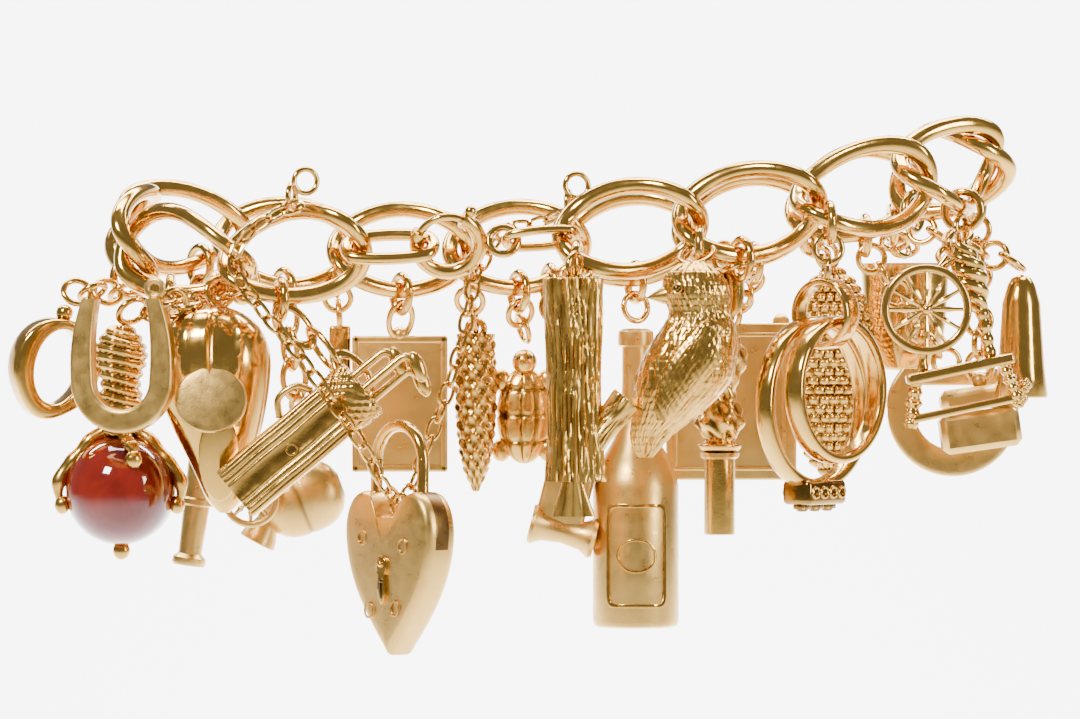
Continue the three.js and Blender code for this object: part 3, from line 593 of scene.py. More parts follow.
# ---- padlock ----
def heart_outline():
    """Half of the heart as cubic spans from the notch round the lobe to the point, and its mirror image."""
    half = HEART["width"] / 2
    point = 2 - HEART["height"]
    left = bezier(
        [(-1.7, 0), (-1.9, 3.3), (-half * 0.98, 3.2), (-half, -1.5)],
        [(-half, -1.5), (-half * 0.98, -7), (-2.6, -10.6), (0, point)], steps=28)
    right = left[::-1] * (-1, 1)
    notch = np.stack([np.linspace(1.7, -1.7, 10), np.zeros(10)], -1)[1:-1]
    return np.concatenate([left, [[0, point]], right, notch])


def padlock():
    """A flat heart with round edges, an engraved line inside its rim, a keyhole cover, and the hinge's slot as a strip
    painted dark for its shade, not cut.
    """
    heart = slab_grid(heart_outline(), HEART["thick"], edge=1.0, dome=0.25, rings=10)
    face = -HEART["thick"] / 2 - 0.28
    cover = bezier(
        [(0, -3.9), (0.95, -3.9), (0.95, -5.5), (0.4, -5.7)], [(0.4, -5.7), (0.55, -7), (0.75, -8), (0, -8.6)],
        [(0, -8.6), (-0.75, -8), (-0.55, -7), (-0.4, -5.7)], [(-0.4, -5.7), (-0.95, -5.5), (-0.95, -3.9), (0, -3.9)])
    pieces = [heart]
    marks = [(-3.4, -2.2), (2.9, -2.9), (-2.3, -9.2), (1.7, -8.9)]
    rings = [(put((rim_grid(ellipse(0.5, 0.62, count=36), ellipse(0.66, 0.8, count=36), 0.16), True), x, face + 0.05, z))
             for x, z in marks]
    bits = [put(slab_grid(cover, 0.5, 0.15, rings=4), 0, face - 0.02, 0), put(ball_grid(0.62, 16, 10), 0, face - 0.3, -4.7)]
    # painted shade: the keyhole is not cut; two small bumps are painted fully dark for the shade inside it
    hole = [add_painted_shade(put(ball_grid(0.7, 16, 10, (1, 0.6, 1)), 0, face - 0.15, -6.3), 1.0),
            add_painted_shade(put(rounded_box_grid((0.34, 0.5, 1.6), 0.1), 0, face - 0.1, -7.2), 1.0)]
    outline = heart_outline()
    edge = outline[(outline[:, 0] > 3.4) & (outline[:, 1] > -3.4)]
    # painted shade: nothing is cut here; a thin strip across the lobe's edge is painted fully dark where the hinge
    # slot's shade would be
    slot = add_painted_shade(closed_ends(rim_grid(edge * 0.86, edge * 1.006, 1.7, 8)), 1.0)
    hinge = put(ball_grid(0.9, 16, 10, (1, 4.2, 1)), 4.4, 0, -1.6)
    place = hung_at("padlock_heart", [heart], (0, 0, LOCK_YAW))
    make("padlock_shape", pieces + rings + [slot, hinge], "satin", place=place, turn=(0, 0, LOCK_YAW),
         node="padlock_heart")
    make("padlock_cover", bits, "polished", place=place, turn=(0, 0, LOCK_YAW))
    make("padlock_keyhole", hole, "antique", place=place, turn=(0, 0, LOCK_YAW))
    span, crown = SHACKLE["span"] / 2, SHACKLE["rise"] - SHACKLE["span"] / 2
    arch = ellipse(span, span, 0, crown, 40, math.pi, 0, False)
    path = [(-span, 0, -1.2), (-span, 0, 1.6)] + [(x, 0, z) for x, z in arch] + [(span, 0, 1.6), (4.3, 0, -1.5)]
    make("padlock_shackle_shape", [curve(path, SHACKLE["wire"], 120, 16)], "polished", "shackle", place=place,
         turn=(0, 0, LOCK_YAW), node="padlock_shackle")
    make("padlock_notch_ring", [(put((ring_grid(2.6, 0.5), True), 0, 0, 0.9))], "polished", place=place,
         turn=(0, 0, LOCK_YAW + 90))


padlock()


# ---- safety chains: fine oval links along each run, turned a quarter from one to the next ----
SAFETY_RUNS = {
    "safety_chain_left": [
        (-26.6, -15.6, 3.6), (-29.3, -16.4, 2.4), (-32.2, -17, 0), (-32.8, -17.6, -2.6), (-30.6, -18.6, -6.2),
        (-27, -20, -10.4), (-23.2, -21.4, -15.6), (-20.2, -21.6, -20), (-18.3, -20.4, -23.6), (-17.2, -18.9, -25)],
    "safety_chain_right": [
        (-16.4, -17.8, -25), (-15.6, -16.4, -23.4), (-14.2, -15, -19.5), (-12.4, -14.6, -14.5),
        (-10.9, -14.2, -9.4), (-10, -12.4, -4.6), (-8.6, -10.4, -1.2), (-6.2, -9.8, 1.4), (-3.6, -8.6, 1.9),
        (-1.2, -8.2, 3)],
}
FINE_LINK = {"length": 2.5, "width": 1.7, "wire": 0.38, "twist": 0.0}


def fine_chain(name, route, end_rings):
    """Small oval links at even steps along the route, every other one turned a quarter about the route."""
    fine = smooth_path(route, 400)
    run = np.concatenate([[0], np.cumsum(np.linalg.norm(np.diff(fine, axis=0), axis=1))])
    pitch = FINE_LINK["length"] - 2 * FINE_LINK["wire"]
    count = int(run[-1] / pitch)
    at = (np.arange(count) + 0.5) * run[-1] / count
    middle = np.stack([np.interp(at, run, fine[:, k]) for k in range(3)], -1)
    ahead = np.stack([np.interp(at + 0.4, run, fine[:, k]) for k in range(3)], -1)
    behind = np.stack([np.interp(at - 0.4, run, fine[:, k]) for k in range(3)], -1)
    along = ahead - behind
    along /= np.linalg.norm(along, axis=1, keepdims=True)
    side = np.cross(along, (0.2, 1.0, 0.1))
    side /= np.linalg.norm(side, axis=1, keepdims=True)
    other = np.cross(along, side)
    turn = np.radians(35 + 90 * (np.arange(count) % 2))[:, None]
    wide = side * np.cos(turn) + other * np.sin(turn)
    deep = np.cross(wide, along)
    link = link_grid(FINE_LINK, 24, 8)
    grids = []
    for k in range(count):
        grids.append((link @ np.stack([along[k], deep[k], wide[k]]) + middle[k], True))
    for place, turn_by in end_rings:
        grids.append((turned_about(ring_grid(2.9, 0.55, 32, 10), *turn_by) + place, True))
    make(name + "_links", grids, "polished", node=name)


fine_chain("safety_chain_left", SAFETY_RUNS["safety_chain_left"],
           [((-26.2, -13.6, 5.9), (0, 0, 20)), ((-27.5, -14.6, 4.4), (0, 0, 75))])
fine_chain("safety_chain_right", SAFETY_RUNS["safety_chain_right"],
           [((0.2, -9.6, 5.6), (0, 0, 15)), ((-0.6, -9.0, 3.9), (0, 0, 80))])


# ---- front charms ----
def pointed_ring():
    """A heavy open band with a point on its lower side, wider at the shoulders."""
    t = np.linspace(0, TAU, 96, endpoint=False)
    inner = ellipse(2.4, 3.7, 0.2, -7.6, 96)
    lobe = 1 + 0.16 * np.maximum(0, np.cos(t + 1.75)) ** 6 + 0.1 * np.cos(2 * t)
    outer = np.stack([0.1 + 4.1 * lobe * np.cos(t), -7.5 + 5.2 * lobe * np.sin(t)], -1)
    return [(rim_grid(inner, outer, 3, 4.5), True), ball_grid(1.7, 20, 12) + (0, 0, -2.3)]


def horseshoe_grid(width, height, branch, thick):
    """A U-shaped strip, open at the top, its branches a little narrower towards their ends."""
    outer_r = width / 2
    bend = -height + outer_r
    s = np.linspace(-1, 1, 110)
    arc = 0.56
    a = np.where(np.abs(s) < arc, s / arc * math.pi / 2, np.sign(s) * math.pi / 2)
    up = np.clip((np.abs(s) - arc) / (1 - arc), 0, 1)
    size = branch * (1 - 0.14 * up)
    lean = 1 + 0.03 * np.sin(up * math.pi) - 0.22 * up ** 2
    outer = np.stack([outer_r * np.sin(a) * lean, bend - outer_r * np.cos(a) + up * -bend], -1)
    inner = np.stack([(outer_r - size) * np.sin(a) * lean, bend - (outer_r - size) * np.cos(a) + up * -bend], -1)
    return closed_ends(rim_grid(inner, outer, thick, 6, 32))


CLAWS = ((-10, -12), (90, -80), (190, -12), (290, 34))


def talon():
    """A scaled leg with cross ridges, and four hooked claws that grip the ball."""
    leg_rows = [(-12.4, 0, 0, 1.5, 1.5), (-10, 0, 0, 2.2, 2.0), (-7.4, 0, 0, 1.7, 1.5), (-4.6, 0, 0, 2.4, 2.0),
                (-2.6, 0, 0, 1.7, 1.5), (-1.6, 0, 0, 0.7, 0.7)]
    leg = loft_grid(leg_rows, 64, 110)
    around, along = angles_of(leg)
    ridge = np.abs(np.sin(along * 3.4 + np.cos(around) * 1.6))
    leg = bumped(leg, 0.32 * ridge + 0.05 * np.sin(around * 9), (1 - ridge) ** 2 * 0.85)
    grip = BALL / 2 + 0.45
    below = -2 - 9 - BALL / 2 - 0.3 - 1.3
    claws = []
    for heading, end in CLAWS:
        t = np.linspace(0, 1, 60)
        knuckle = 1 + 0.22 * np.sin(t * TAU * 2.2) ** 2
        angle = np.radians(94 + (end - 94) * t)
        lift = 1 + 0.05 * np.sin(t * math.pi * 3)
        path = np.stack([grip * lift * np.cos(angle), 0 * t, grip * lift * np.sin(angle)], -1)
        size = 0.62 * knuckle * np.where(t < 0.8, 1, 1 - 0.6 * (t - 0.8) / 0.2)
        claw = tube_grid(path, size, 18, up=(0, 1, 0))
        ring = np.abs(np.sin(np.linspace(0, 40, claw.shape[0])))[:, None]
        nail = ball_grid(1.7, 20, 12, (0.9, 1, 1.1)) + (path[-1, 0], 0, path[-1, 2])
        claws.append(add_painted_shade(turned_about(claw, rz=heading) + (0, 0, below), 0.25 * (1 - ring)))
        claws.append(turned_about(nail, rz=heading) + (0, 0, below))
    return [leg] + claws


def clog():
    """A plump toe tapering to a narrow tongue, with piped seams running from the top down both sides."""
    rows = [(-21.9, 1.2, 0, 0.5, 0.6), (-20.6, 1.2, 0, 1.7, 1.5), (-17.5, 0.9, 0, 2.8, 2.3), (-13.5, 0.5, 0, 4.4, 3.4),
            (-9.5, 0.1, 0, 5.5, 4.2), (-6.5, 0, 0, 5.7, 4.5), (-4.2, 0, 0, 4.9, 4.1), (-2.6, 0, 0, 3.3, 2.9),
            (-1.6, 0, 0, 1, 1)]
    body = loft_grid(rows, 120, 150)
    around, along = angles_of(body)
    seams = 0
    for angle in (-1.05, -1.57, -2.1):
        spread = np.abs(np.angle(np.exp(1j * (around - angle - 0.06 * (along + 9) * (angle + 1.57)))))
        seams = seams + np.exp(-(spread / 0.055) ** 2)
    fade = np.clip((along + 13.5) / 2, 0, 1) * np.clip((-1.9 - along) / 1, 0, 1)
    body = bumped(body, 0.34 * seams * fade, 0.12 * (1 - np.clip(seams, 0, 1)) * 0)
    disc = put(slab_grid(ellipse(3.5, 3.2, count=64), 0.7, 0.25, 0.18), 0.2, -4.7, -10.9, (-9, 0, 0))
    tongue = put(slab_grid(ellipse(2.0, 4.4, count=64), 0.6, 0.25, 0.25), 0.9, -3.15, -16.4, (12, 0, 0))
    edge = put(closed_ends(rim_grid(ellipse(1.7, 1.5, 0, 0, 40, 0.1, 3.04, False), ellipse(2.2, 2.1, 0, 0, 40, 0.1, 3.04, False),
                                    0.5)), 0.8, -3.5, -13.6, (10, 0, 0))
    knob = put(ball_grid(0.8, 16, 10), 0.9, -3.4, -15.8)
    return [body, tongue, edge, knob], [disc]


def golf_bag():
    """A flat-sided bag ribbed from end to end, a stitched collar, and three clubs standing out of its mouth."""
    rows = [(-16.3, 0, 0, 2.7, 2.0), (-16, 0, 0, 2.85, 2.15), (-9.4, 0, 0, 2.9, 2.2), (-3.1, 0, 0, 2.85, 2.15),
            (-2.8, 0, 0, 2.6, 2.0)]
    bag = loft_grid(rows, 560, 26, 6)
    around, along = angles_of(bag)
    flank = np.abs(np.sin(bag[..., 0] * 5.2 + 0.25 * np.sin(along * 0.9)))
    bag = bumped(bag, -0.16 * (1 - flank) ** 2, (1 - flank) ** 3 * 0.8)
    collar = loft_grid([(-3.4, 0, 0, 2.7, 2.3), (-3, 0, 0, 3.0, 2.5), (-0.9, 0, 0, 3.05, 2.6), (-0.5, 0, 0, 2.8, 2.3)], 120, 50, 3)
    around, along = angles_of(collar)
    stitch = np.sin(around * 22) * np.sin(along * 6)
    collar = bumped(collar, 0.12 * stitch, np.clip(-stitch, 0, 1) * 0.7)
    mark = put((rim_grid(ellipse(0.42, 0.42, count=30), ellipse(0.62, 0.62, count=30), 0.3), True), 0.2, -2.2, -9.6)
    clubs = []
    for x, y, rise in ((-1.4, 0.5, 3.6), (0.2, -0.6, 4.8), (1.5, 0.4, 4.2)):
        clubs.append(curve([(x, y, -1), (x, y, rise * 0.5), (x + 0.1, y, rise - 0.5), (x + 0.8, y - 0.1, rise)], 0.85))
        head = ball_grid(1, 28, 16, (3.2, 1.25, 1.5))
        clubs.append(put(head, x + 1.7, y - 0.1, rise - 0.05, (0, 18, 0)))
    handle = put(curve([(-2.9, -1, -4.5), (-4.2, -1.3, -5.4), (-4.4, -1.3, -7.4), (-2.9, -1, -8.6)], 0.7), 0, 0, 0)
    return [put(g, 0, 0, 0, (0, 50, 0)) for g in (bag, collar, mark, handle, *clubs)]


def tree_log():
    """A trunk of deep uneven bark with a broken side branch, hollow below, and a tail fanning out of the hollow."""
    rows = [(-21.2, 0.2, 0, 2.95, 2.75), (-17, 0.15, 0, 2.75, 2.6), (-11, 0, 0, 2.65, 2.5), (-5, 0, 0, 2.8, 2.6),
            (-1.9, 0, 0, 2.95, 2.75), (-1.55, 0, 0, 2.6, 2.4)]
    bark = loft_grid(rows, 150, 150)[1:]
    around, along = angles_of(bark)
    cut = grooves(around, along * 0.35, 11, 13, twist=0.8)
    crack = np.clip(np.abs(grooves(around, along * 0.5, 5, 8, twist=0.9)) * 3.4, 0, 1)
    bark = bumped(bark, 0.2 * cut - 0.2 * (1 - crack), np.clip(0.2 - cut, 0, 1) * 0.2 + 0.5 * (1 - crack) ** 2)
    inside = loft_grid([(-21.2, 0.2, 0, 2.5, 2.3), (-18.5, 0.2, 0, 2.1, 1.9), (-17.2, 0.2, 0, 0.3, 0.3)], 150, 24)[1:-1]
    # painted shade: the inside of the hollow below is darkened by 0.75
    lip = np.concatenate([add_painted_shade(inside, 0.75)[::-1], bark])
    stub = loft_grid([(-5.6, 0, 0, 1.2, 1.1), (-5.4, 0, 0, 1.6, 1.45), (-2.6, 0, 0, 1.35, 1.25), (0, 0, 0, 1.5, 1.4)], 72, 60)
    around, along = angles_of(stub)
    cut = grooves(around, along, 3, 8)
    stub = put(bumped(stub, 0.14 * cut, np.clip(0.4 - cut, 0, 1) * 0.6), 1.6, 0, -17.6, (0, -140, 0))
    fan = loft_grid([(-24.6, 0, 0, 2.2, 0.4), (-22.6, 0, 0, 1.5, 0.6), (-20.6, 0, 0, 1.0, 0.8), (-17.8, 0, 0, 1.1, 0.9)], 110, 60)
    around, along = angles_of(fan)
    quill = np.abs(np.sin(fan[..., 0] / (0.35 + 0.12 * np.clip(-along - 20, 0, 5)) * 2.4))
    fan = bumped(fan, -0.12 * (1 - quill), (1 - quill) ** 2 * 0.8)
    return [lip, stub, fan]


def bird():
    """A plump songbird: round head, short beak, folded wings and tail, covered in rows of small feathers."""
    rows = [(-20.6, -4.7, 0, 0.7, 0.4), (-18.6, -4.2, 0, 1.9, 1.3), (-16.4, -2.7, 0, 3.3, 2.6), (-13.6, -1.2, 0, 4.5, 3.6),
            (-11, -0.4, 0, 4.5, 3.8), (-8.4, 0.4, 0, 3.7, 3.2), (-6.7, 0.5, 0, 2.95, 2.6), (-4.6, 0.2, 0, 3.2, 2.8),
            (-2.9, 0, 0, 2.6, 2.2), (-1.7, 0, 0, 0.9, 0.8)]
    body = loft_grid(rows, 170, 220)
    around, along = angles_of(body)
    row = along * 1.5
    scale = np.abs(np.sin(around * 13 + np.floor(row) * 1.7)) ** 0.6
    tier = row - np.floor(row)
    plume = scale * tier
    fine = grooves(around * 2, along * 2, 8, 10)
    body = bumped(body, 0.05 * plume + 0.14 * fine, np.clip(0.1 - fine, 0, 1) * 0.6)
    beak = put(lathe_grid([(0.001, 0), (0.95, 0.05), (0.8, 0.6), (0.4, 1.4), (0.001, 2.2)], 24), -2.5, -0.3, -4.9, (0, -98, 0))
    eye = [add_painted_shade(put(ball_grid(0.8, 16, 10), -1.7, -2.55, -4.3), 1.0),
           put((ring_grid(1.15, 0.24, 24, 8), True), -1.7, -2.6, -4.3, (0, 0, -30))]
    wings = []
    for y in (-3.2, 3.2):
        wing = loft_grid([(-17, -3.2, 0, 0.5, 0.2), (-15, -2.3, 0, 1.6, 0.6), (-11.4, -0.2, 0, 2.6, 0.9), (-8.2, 1.2, 0, 1.4, 0.6),
                          (-7.2, 1.5, 0, 0.3, 0.2)], 100, 90)
        a, h = angles_of(wing)
        vane = np.abs(np.sin(wing[..., 0] * 4.4 + h * 2.6))
        fine = grooves(a * 2, h * 2, 9, 9)
        wings.append(bumped(wing, 0.08 * fine - 0.07 * (1 - vane), (1 - vane) ** 2 * 0.4))
        wings[-1][..., 1] += y * 1.02
    return [body, beak, *eye, *wings]


def watch_key():
    """A turned and chased handle with beads, a leaf collar, and the plain hollow barrel of a key."""
    handle = [(0.02, -19.9), (1.5, -19.9), (2.0, -19.6), (2.1, -19.2), (1.5, -18.9), (1.6, -18.5), (2.3, -17.2), (2.1, -16),
              (1.5, -14.4), (1.7, -13.4), (2.5, -11.4), (2.55, -10.4), (2.0, -9), (1.4, -8.2), (1.2, -7.4), (1.3, -6.6),
              (1.9, -5.9), (2.2, -4.4), (2.1, -3), (1.4, -2), (0.02, -1.8)]
    smooth = smooth_path(np.asarray(handle, float), 190)
    smooth[:, 0] = np.maximum(smooth[:, 0], 0.01)
    grid = lathe_grid(smooth, 120)
    around, along = angles_of(grid)
    lobes = np.sin(around * 6 + along * 1.1) * np.sin(along * 2.3)
    ribs = np.where(along > -7, np.sin(around * 16), lobes)
    strength = np.clip((along + 19) * 2, 0, 1) * np.clip((-1.9 - along) * 2, 0, 1)
    grid = bumped(grid, 0.26 * ribs * strength, np.clip(-ribs, 0, 1) * strength * 0.95)
    barrel = lathe_grid([(0.02, -27), (0.75, -27), (0.75, -28), (1.45, -28), (1.5, -27.8), (1.5, -20.6), (1.9, -20.4),
                         (1.95, -20), (0.02, -19.8)], 48)
    # painted shade: the end of the barrel's bore is darkened by 0.9
    barrel = add_painted_shade(barrel, np.where(np.hypot(barrel[..., 0], barrel[..., 1]) < 0.9, 0.9, 0) * (barrel[..., 2] < -25))
    return [grid, barrel]


def finger_band(outer, deep, wide, power=3.0):
    """A ring for a finger, upright with its top at z = 0."""
    half = outer / 2
    return (rim_grid(ellipse(half - deep, half - deep, 0, -half), ellipse(half, half, 0, -half), wide, power), True)


def engagement_head():
    """A worn ring head: an oblong pierced setting with three dark stones in claws."""
    grids = [add_painted_shade(put(rounded_box_grid((6.2, 3.4, 2.4), 0.5), 0, 0, -17.1), 0.7)]
    stones = []
    for x in (-2, 0, 2):
        stones.append(put(lathe_grid([(0.001, -0.9), (0.45, -0.85), (0.8, -0.45), (0.8, -0.3), (0.001, 0.5)], 10), x, 0, -18.1))
        for a in (45, 135, 225, 315):
            dx, dy = 0.78 * math.cos(math.radians(a)), 0.78 * math.sin(math.radians(a))
            grids.append(add_painted_shade(bar((x + dx, dy, -17.2), (x + dx * 0.9, dy * 0.9, -18.75), 0.36, 8), 0.25))
    for side in (-1, 1):
        for x in (-2.1, -0.7, 0.7, 2.1):
            grids.append((add_painted_shade(put(ring_grid(1.3, 0.3, 20, 8), x, side * 1.75, -17.1), 0.3), True))
    return grids, stones


def spoked_wheel(outer, rim, spokes, hub, wide, knob):
    """A rim, spokes turned with a bead at their middle, and a nave."""
    half = outer / 2
    grids = [(rim_grid(ellipse(half - rim, half - rim), ellipse(half, half), wide, 3, 20), True)]
    for i in range(spokes):
        t = np.linspace(0, 1, 22)
        angle = TAU * i / spokes
        reach = hub * 0.4 + (half - rim * 0.6 - hub * 0.4) * t
        size = 0.19 * (1 + 0.6 * np.exp(-((t - 0.45) / 0.13) ** 2))
        path = np.stack([reach * math.cos(angle), 0 * t, reach * math.sin(angle)], -1)
        grids.append(tube_grid(path, size, 8, up=(0, 1, 0)))
    grids.append(put(lathe_grid([(0.01, -wide * 0.7), (hub * 0.42, -wide * 0.66), (hub * 0.5, -wide * 0.3),
                                 (hub * 0.5, wide * 0.3), (hub * 0.42, wide * 0.66), (0.01, wide * 0.7)], 28), 0, 0, 0, (90, 0, 0)))
    if knob:
        grids.append(put(ball_grid(1.0, 20, 12), 0, -wide * 0.9, 0))
    return grids


def turned_leg(start, end, diameter):
    """A turned post: beads and coves along a straight line."""
    t = np.linspace(0, 1, 60)
    path = np.asarray(start, float) * (1 - t[:, None]) + np.asarray(end, float) * t[:, None]
    size = diameter / 2 * (0.85 + 0.28 * np.sin(t * TAU * 2.5) ** 2 + 0.2 * np.exp(-((t - 0.5) / 0.07) ** 2))
    return tube_grid(path, size, 16)


def spinning_frame():
    """A slanted bench, turned legs and posts, a treadle, and a distaff wound with a rope of wool."""
    slope = (0, -12, 0)
    grids = [put(rounded_box_grid((10.6, 3.4, 1.0), 0.3), 3.6, 2.2, -6, slope),
             put(rounded_box_grid((10.8, 1.0, 0.8), 0.3), 4.2, 1.4, -9.8, slope),
             put(rounded_box_grid((9.6, 0.8, 0.7), 0.25), 4.2, 3.2, -9.9, slope),
             turned_leg((-0.6, 2.2, -6.8), (-1.2, 2.2, -11.8), 1.3), turned_leg((7.6, 3, -5), (9.4, 3.1, -8.8), 1.1),
             turned_leg((7.6, 1.4, -5), (9.1, 1.3, -9), 1.1), turned_leg((0, 2.2, -6.6), (0, 2.2, 0.8), 1.0),
             turned_leg((6.6, 2.2, -5), (5.4, 2.2, 1.2), 1.2), bar((0, 2.6, 0), (0, -0.9, 0), 0.6),
             curve([(4.3, 2.2, 4.4), (3, 2.3, 4.6), (1.6, 2.4, 3.8), (2.4, 2.4, 5)], 0.8)]
    wool = loft_grid([(-3.4, 0, 0, 0.6, 0.6), (-1.6, 0, 0, 1.25, 1.15), (0.2, 0, 0, 1.6, 1.45), (2, 0, 0, 1.2, 1.1),
                      (3.4, 0, 0, 0.6, 0.6)], 90, 120)
    around, along = angles_of(wool)
    strand = np.abs(np.sin((around + along * 1.5) * 1.5))
    wool = bumped(wool, 0.36 * strand - 0.2, (1 - strand) ** 2 * 0.8)
    grids.append(put(wool, 4.6, 2.2, 3, (0, -18, 0)))
    for x, y, z in ((9.6, 3.1, -8.9), (9.3, 1.2, -9.1), (9.9, 2.2, -7.6)):
        for k in range(5):
            a = TAU * k / 5
            grids.append(ball_grid(0.62, 12, 8) + (x + 0.42 * math.cos(a), y, z + 0.42 * math.sin(a)))
        grids.append(ball_grid(0.6, 12, 8) + (x, y - 0.2, z))
    return [put(g, -2.6, -2.4, -5) for g in grids]


charm("pointed_ring", pointed_ring(), "polished", "link_left_turn", -90, (0, 12, 25))
charm("horseshoe", [horseshoe_grid(10.2, 13, 2.3, 2) + (-3.2, 0, 0), (put((ring_grid(2.2, 0.6), True), 0, 0, 1.0))], "satin",
      "link_front_6", -72, (0, 0, -12))
charm("talon", talon(), "antique", "link_front_6", -100)
stone = [ball_grid(BALL, 96, 64)]
make("carnelian_ball", stone, "carnelian", place=hung_at("talon_ball", stone), node="talon_ball")
clog_body, clog_disc = clog()
charm("clog", clog_body, "polished", "link_front_6", -48, extra=[("disc", clog_disc, "satin")])
charm("golf_bag", golf_bag(), "antique", "link_front_5", -100, (0, 0, 0), count=3)
charm("tree_log", tree_log(), "grained", "link_front_1", -135)
charm("bird", bird(), "antique", "link_front_2", -135)
charm("watch_key", watch_key(), "antique", "link_front_2", -100)
charm("bail_band", [put(finger_band(7, 0.7, 2.2), turn=(0, 0, 140))], "polished", "link_front_3", -130)
BAND_TURN = (0, 0, 50)
wedding = [finger_band(14.4, 1.1, 2.2)]
make("wedding_band_shape", wedding, "polished", place=hung_at("wedding_band", wedding, BAND_TURN), turn=BAND_TURN,
     node="wedding_band")
head, stones = engagement_head()
engagement = [finger_band(17, 1.2, 2), *head]
head_place = hung_at("engagement_band", engagement, BAND_TURN)
make("engagement_band_shape", engagement, "polished", place=head_place, turn=BAND_TURN, node="engagement_band")
make("engagement_stones", [add_painted_shade(s, 0.9) for s in stones], "antique", place=head_place, turn=BAND_TURN)
charm("spinning_frame", spinning_frame(), "polished", "link_front_4", -100)
make("spinning_wheel_shape", spoked_wheel(8.8, 0.8, 12, 1.3, 1.0, True), "polished", "wheel", place=JOINTS["wheel_axle"],
     node="spinning_wheel")


# ---- back charms ----
def cannon():
    """A ringed barrel on a slim carriage with a spoked wheel."""
    rows = [(0.01, -12.6), (1.6, -12.6), (1.75, -12.3), (1.7, -11.8), (1.2, -11.4), (1.2, -11), (1.35, -6.5), (1.6, -6.3),
            (1.6, -5.8), (1.4, -5.6), (1.55, -0.4), (1.85, -0.2), (1.9, 0.3), (1.7, 0.6), (2.1, 1.2), (2.1, 3), (1.5, 3.8),
            (0.7, 4.1), (0.75, 4.8), (0.01, 5.2)]
    barrel = put(lathe_grid(rows, 56), -1.6, 0, -8, (0, 8, 0))
    cheek = put(rounded_box_grid((2.6, 2.2, 12), 0.4), 2.2, 0, -7.4, (0, -6, 0))
    wheel = [put(g, 3.1, -1.4, -13.6) for g in spoked_wheel(6, 0.7, 8, 1.4, 0.9, False)]
    bridge = put(rounded_box_grid((5, 1.6, 2), 0.4), 0, 0, -5)
    return [barrel, cheek, bridge, *wheel]


def whistle():
    """A round body with a flared spout and a worn seam along its middle."""
    body = loft_grid([(-4.6, 0, 0, 0.8, 0.7), (-4, 0, 0, 2.4, 1.9), (-2, 0, 0, 3.6, 2.8), (1.4, 0, 0, 3.6, 2.8),
                      (3.2, 0, 0, 2.6, 2.2), (4, 0, 0, 1.2, 1)], 72, 60)
    around, along = angles_of(body)
    seam = np.exp(-((along + 0.4) / 0.22) ** 2)
    # painted shade: the seam's groove is darkened by 0.8
    body = bumped(body, -0.14 * seam, 0.8 * seam)
    spout = lathe_grid([(0.01, -4.2), (1.2, -4.4), (1.75, -5), (1.95, -4.9), (1.8, -4.2), (1.2, -2.6), (1.4, 0), (0.01, 0)], 40)
    # painted shade: the spout's mouth is darkened by 0.8
    spout = add_painted_shade(spout, np.where(np.hypot(spout[..., 0], spout[..., 1]) < 1.3, 0.8, 0) * (spout[..., 2] < -4))
    return [put(body, 0, 0, -4.6, (0, 70, 0)), put(spout, -2.6, 0, -4.8, (0, 28, 0))]


def flat_plate():
    """A thin plate with a raised border and a lug at its top."""
    plate = rounded_box_grid((9.8, 1.1, 14), 0.3)
    border = [rounded_box_grid((9.8, 1.4, 0.8), 0.25) + (0, 0, z) for z in (-6.6, 6.6)]
    border += [rounded_box_grid((0.8, 1.4, 14), 0.25) + (x, 0, 0) for x in (-4.5, 4.5)]
    return [put(g, 0, 0, -7.6) for g in [plate, *border]] + [put(ball_grid(1.7), 0, 0, -0.5)]


def pod():
    """A pitted seed pod, open at its top, with painted shade in its pits and inside."""
    outside = loft_grid([(-17.4, 0, 0, 0.3, 0.3), (-14, 0, 0, 1.5, 1.4), (-8, 0, 0, 2.1, 1.9), (-1.2, 0, 0, 1.9, 1.7)], 90, 110)
    around, along = angles_of(outside)
    pits = np.sin(around * 8 + along * 0.6) * np.sin(along * 3.4)
    outside = bumped(outside, 0.17 * pits, np.clip(0.35 - pits, 0, 1) * 0.8)[:-1]
    # painted shade: the inside is painted fully dark, and the pits above are darkened
    inside = loft_grid([(-1.2, 0, 0, 1.5, 1.3), (-3.5, 0, 0, 1.3, 1.2), (-4.2, 0, 0, 0.3, 0.3)], 90, 16)[1:]
    return [np.concatenate([outside, add_painted_shade(inside, 1.0)]), put((ring_grid(2.4, 0.7), True), 0, 0, -0.7)]


def tortoise():
    """A domed shell cut into plates, a head at the top and four feet."""
    shell = ball_grid(8, 110, 80, (0.72, 0.42, 1.25))
    around, along = angles_of(shell)
    plates = np.abs(np.sin(around * 3.5)) * np.abs(np.sin(along * 1.15))
    edges = np.clip(1 - plates * 3.2, 0, 1)
    shell = bumped(shell, -0.2 * edges, edges * 0.85)
    feet = [put(ball_grid(2, 24, 14, (1, 0.8, 1.2)), x, 0, z) for x in (-2.4, 2.4) for z in (-4.8, -12)]
    return [put(shell, 0, 0, -8.4), put(ball_grid(2.6, 28, 18), 0, -0.6, -2.9), *feet,
            *[add_painted_shade(put(ball_grid(0.5, 10, 8), x, -1.7, -2.4), 1.0) for x in (-0.6, 0.6)]]


def mallet():
    """A flat handle with a spool at its foot and a knob."""
    handle = rounded_box_grid((5.0, 1.9, 13), 0.5) + (0, 0, -7)
    spool = lathe_grid([(0.01, -3.4), (1.9, -3.4), (2.1, -3), (1.5, -2), (1.25, 0), (1.5, 2), (2.1, 3), (1.9, 3.4), (0.01, 3.4)], 44)
    return [put(g, 0, 0, 0, (0, 14, 0)) for g in
            (handle, put(spool, 0.6, 0, -14, (0, 90, 0)), put(ball_grid(2.4), 3.2, 0, -14.2))]


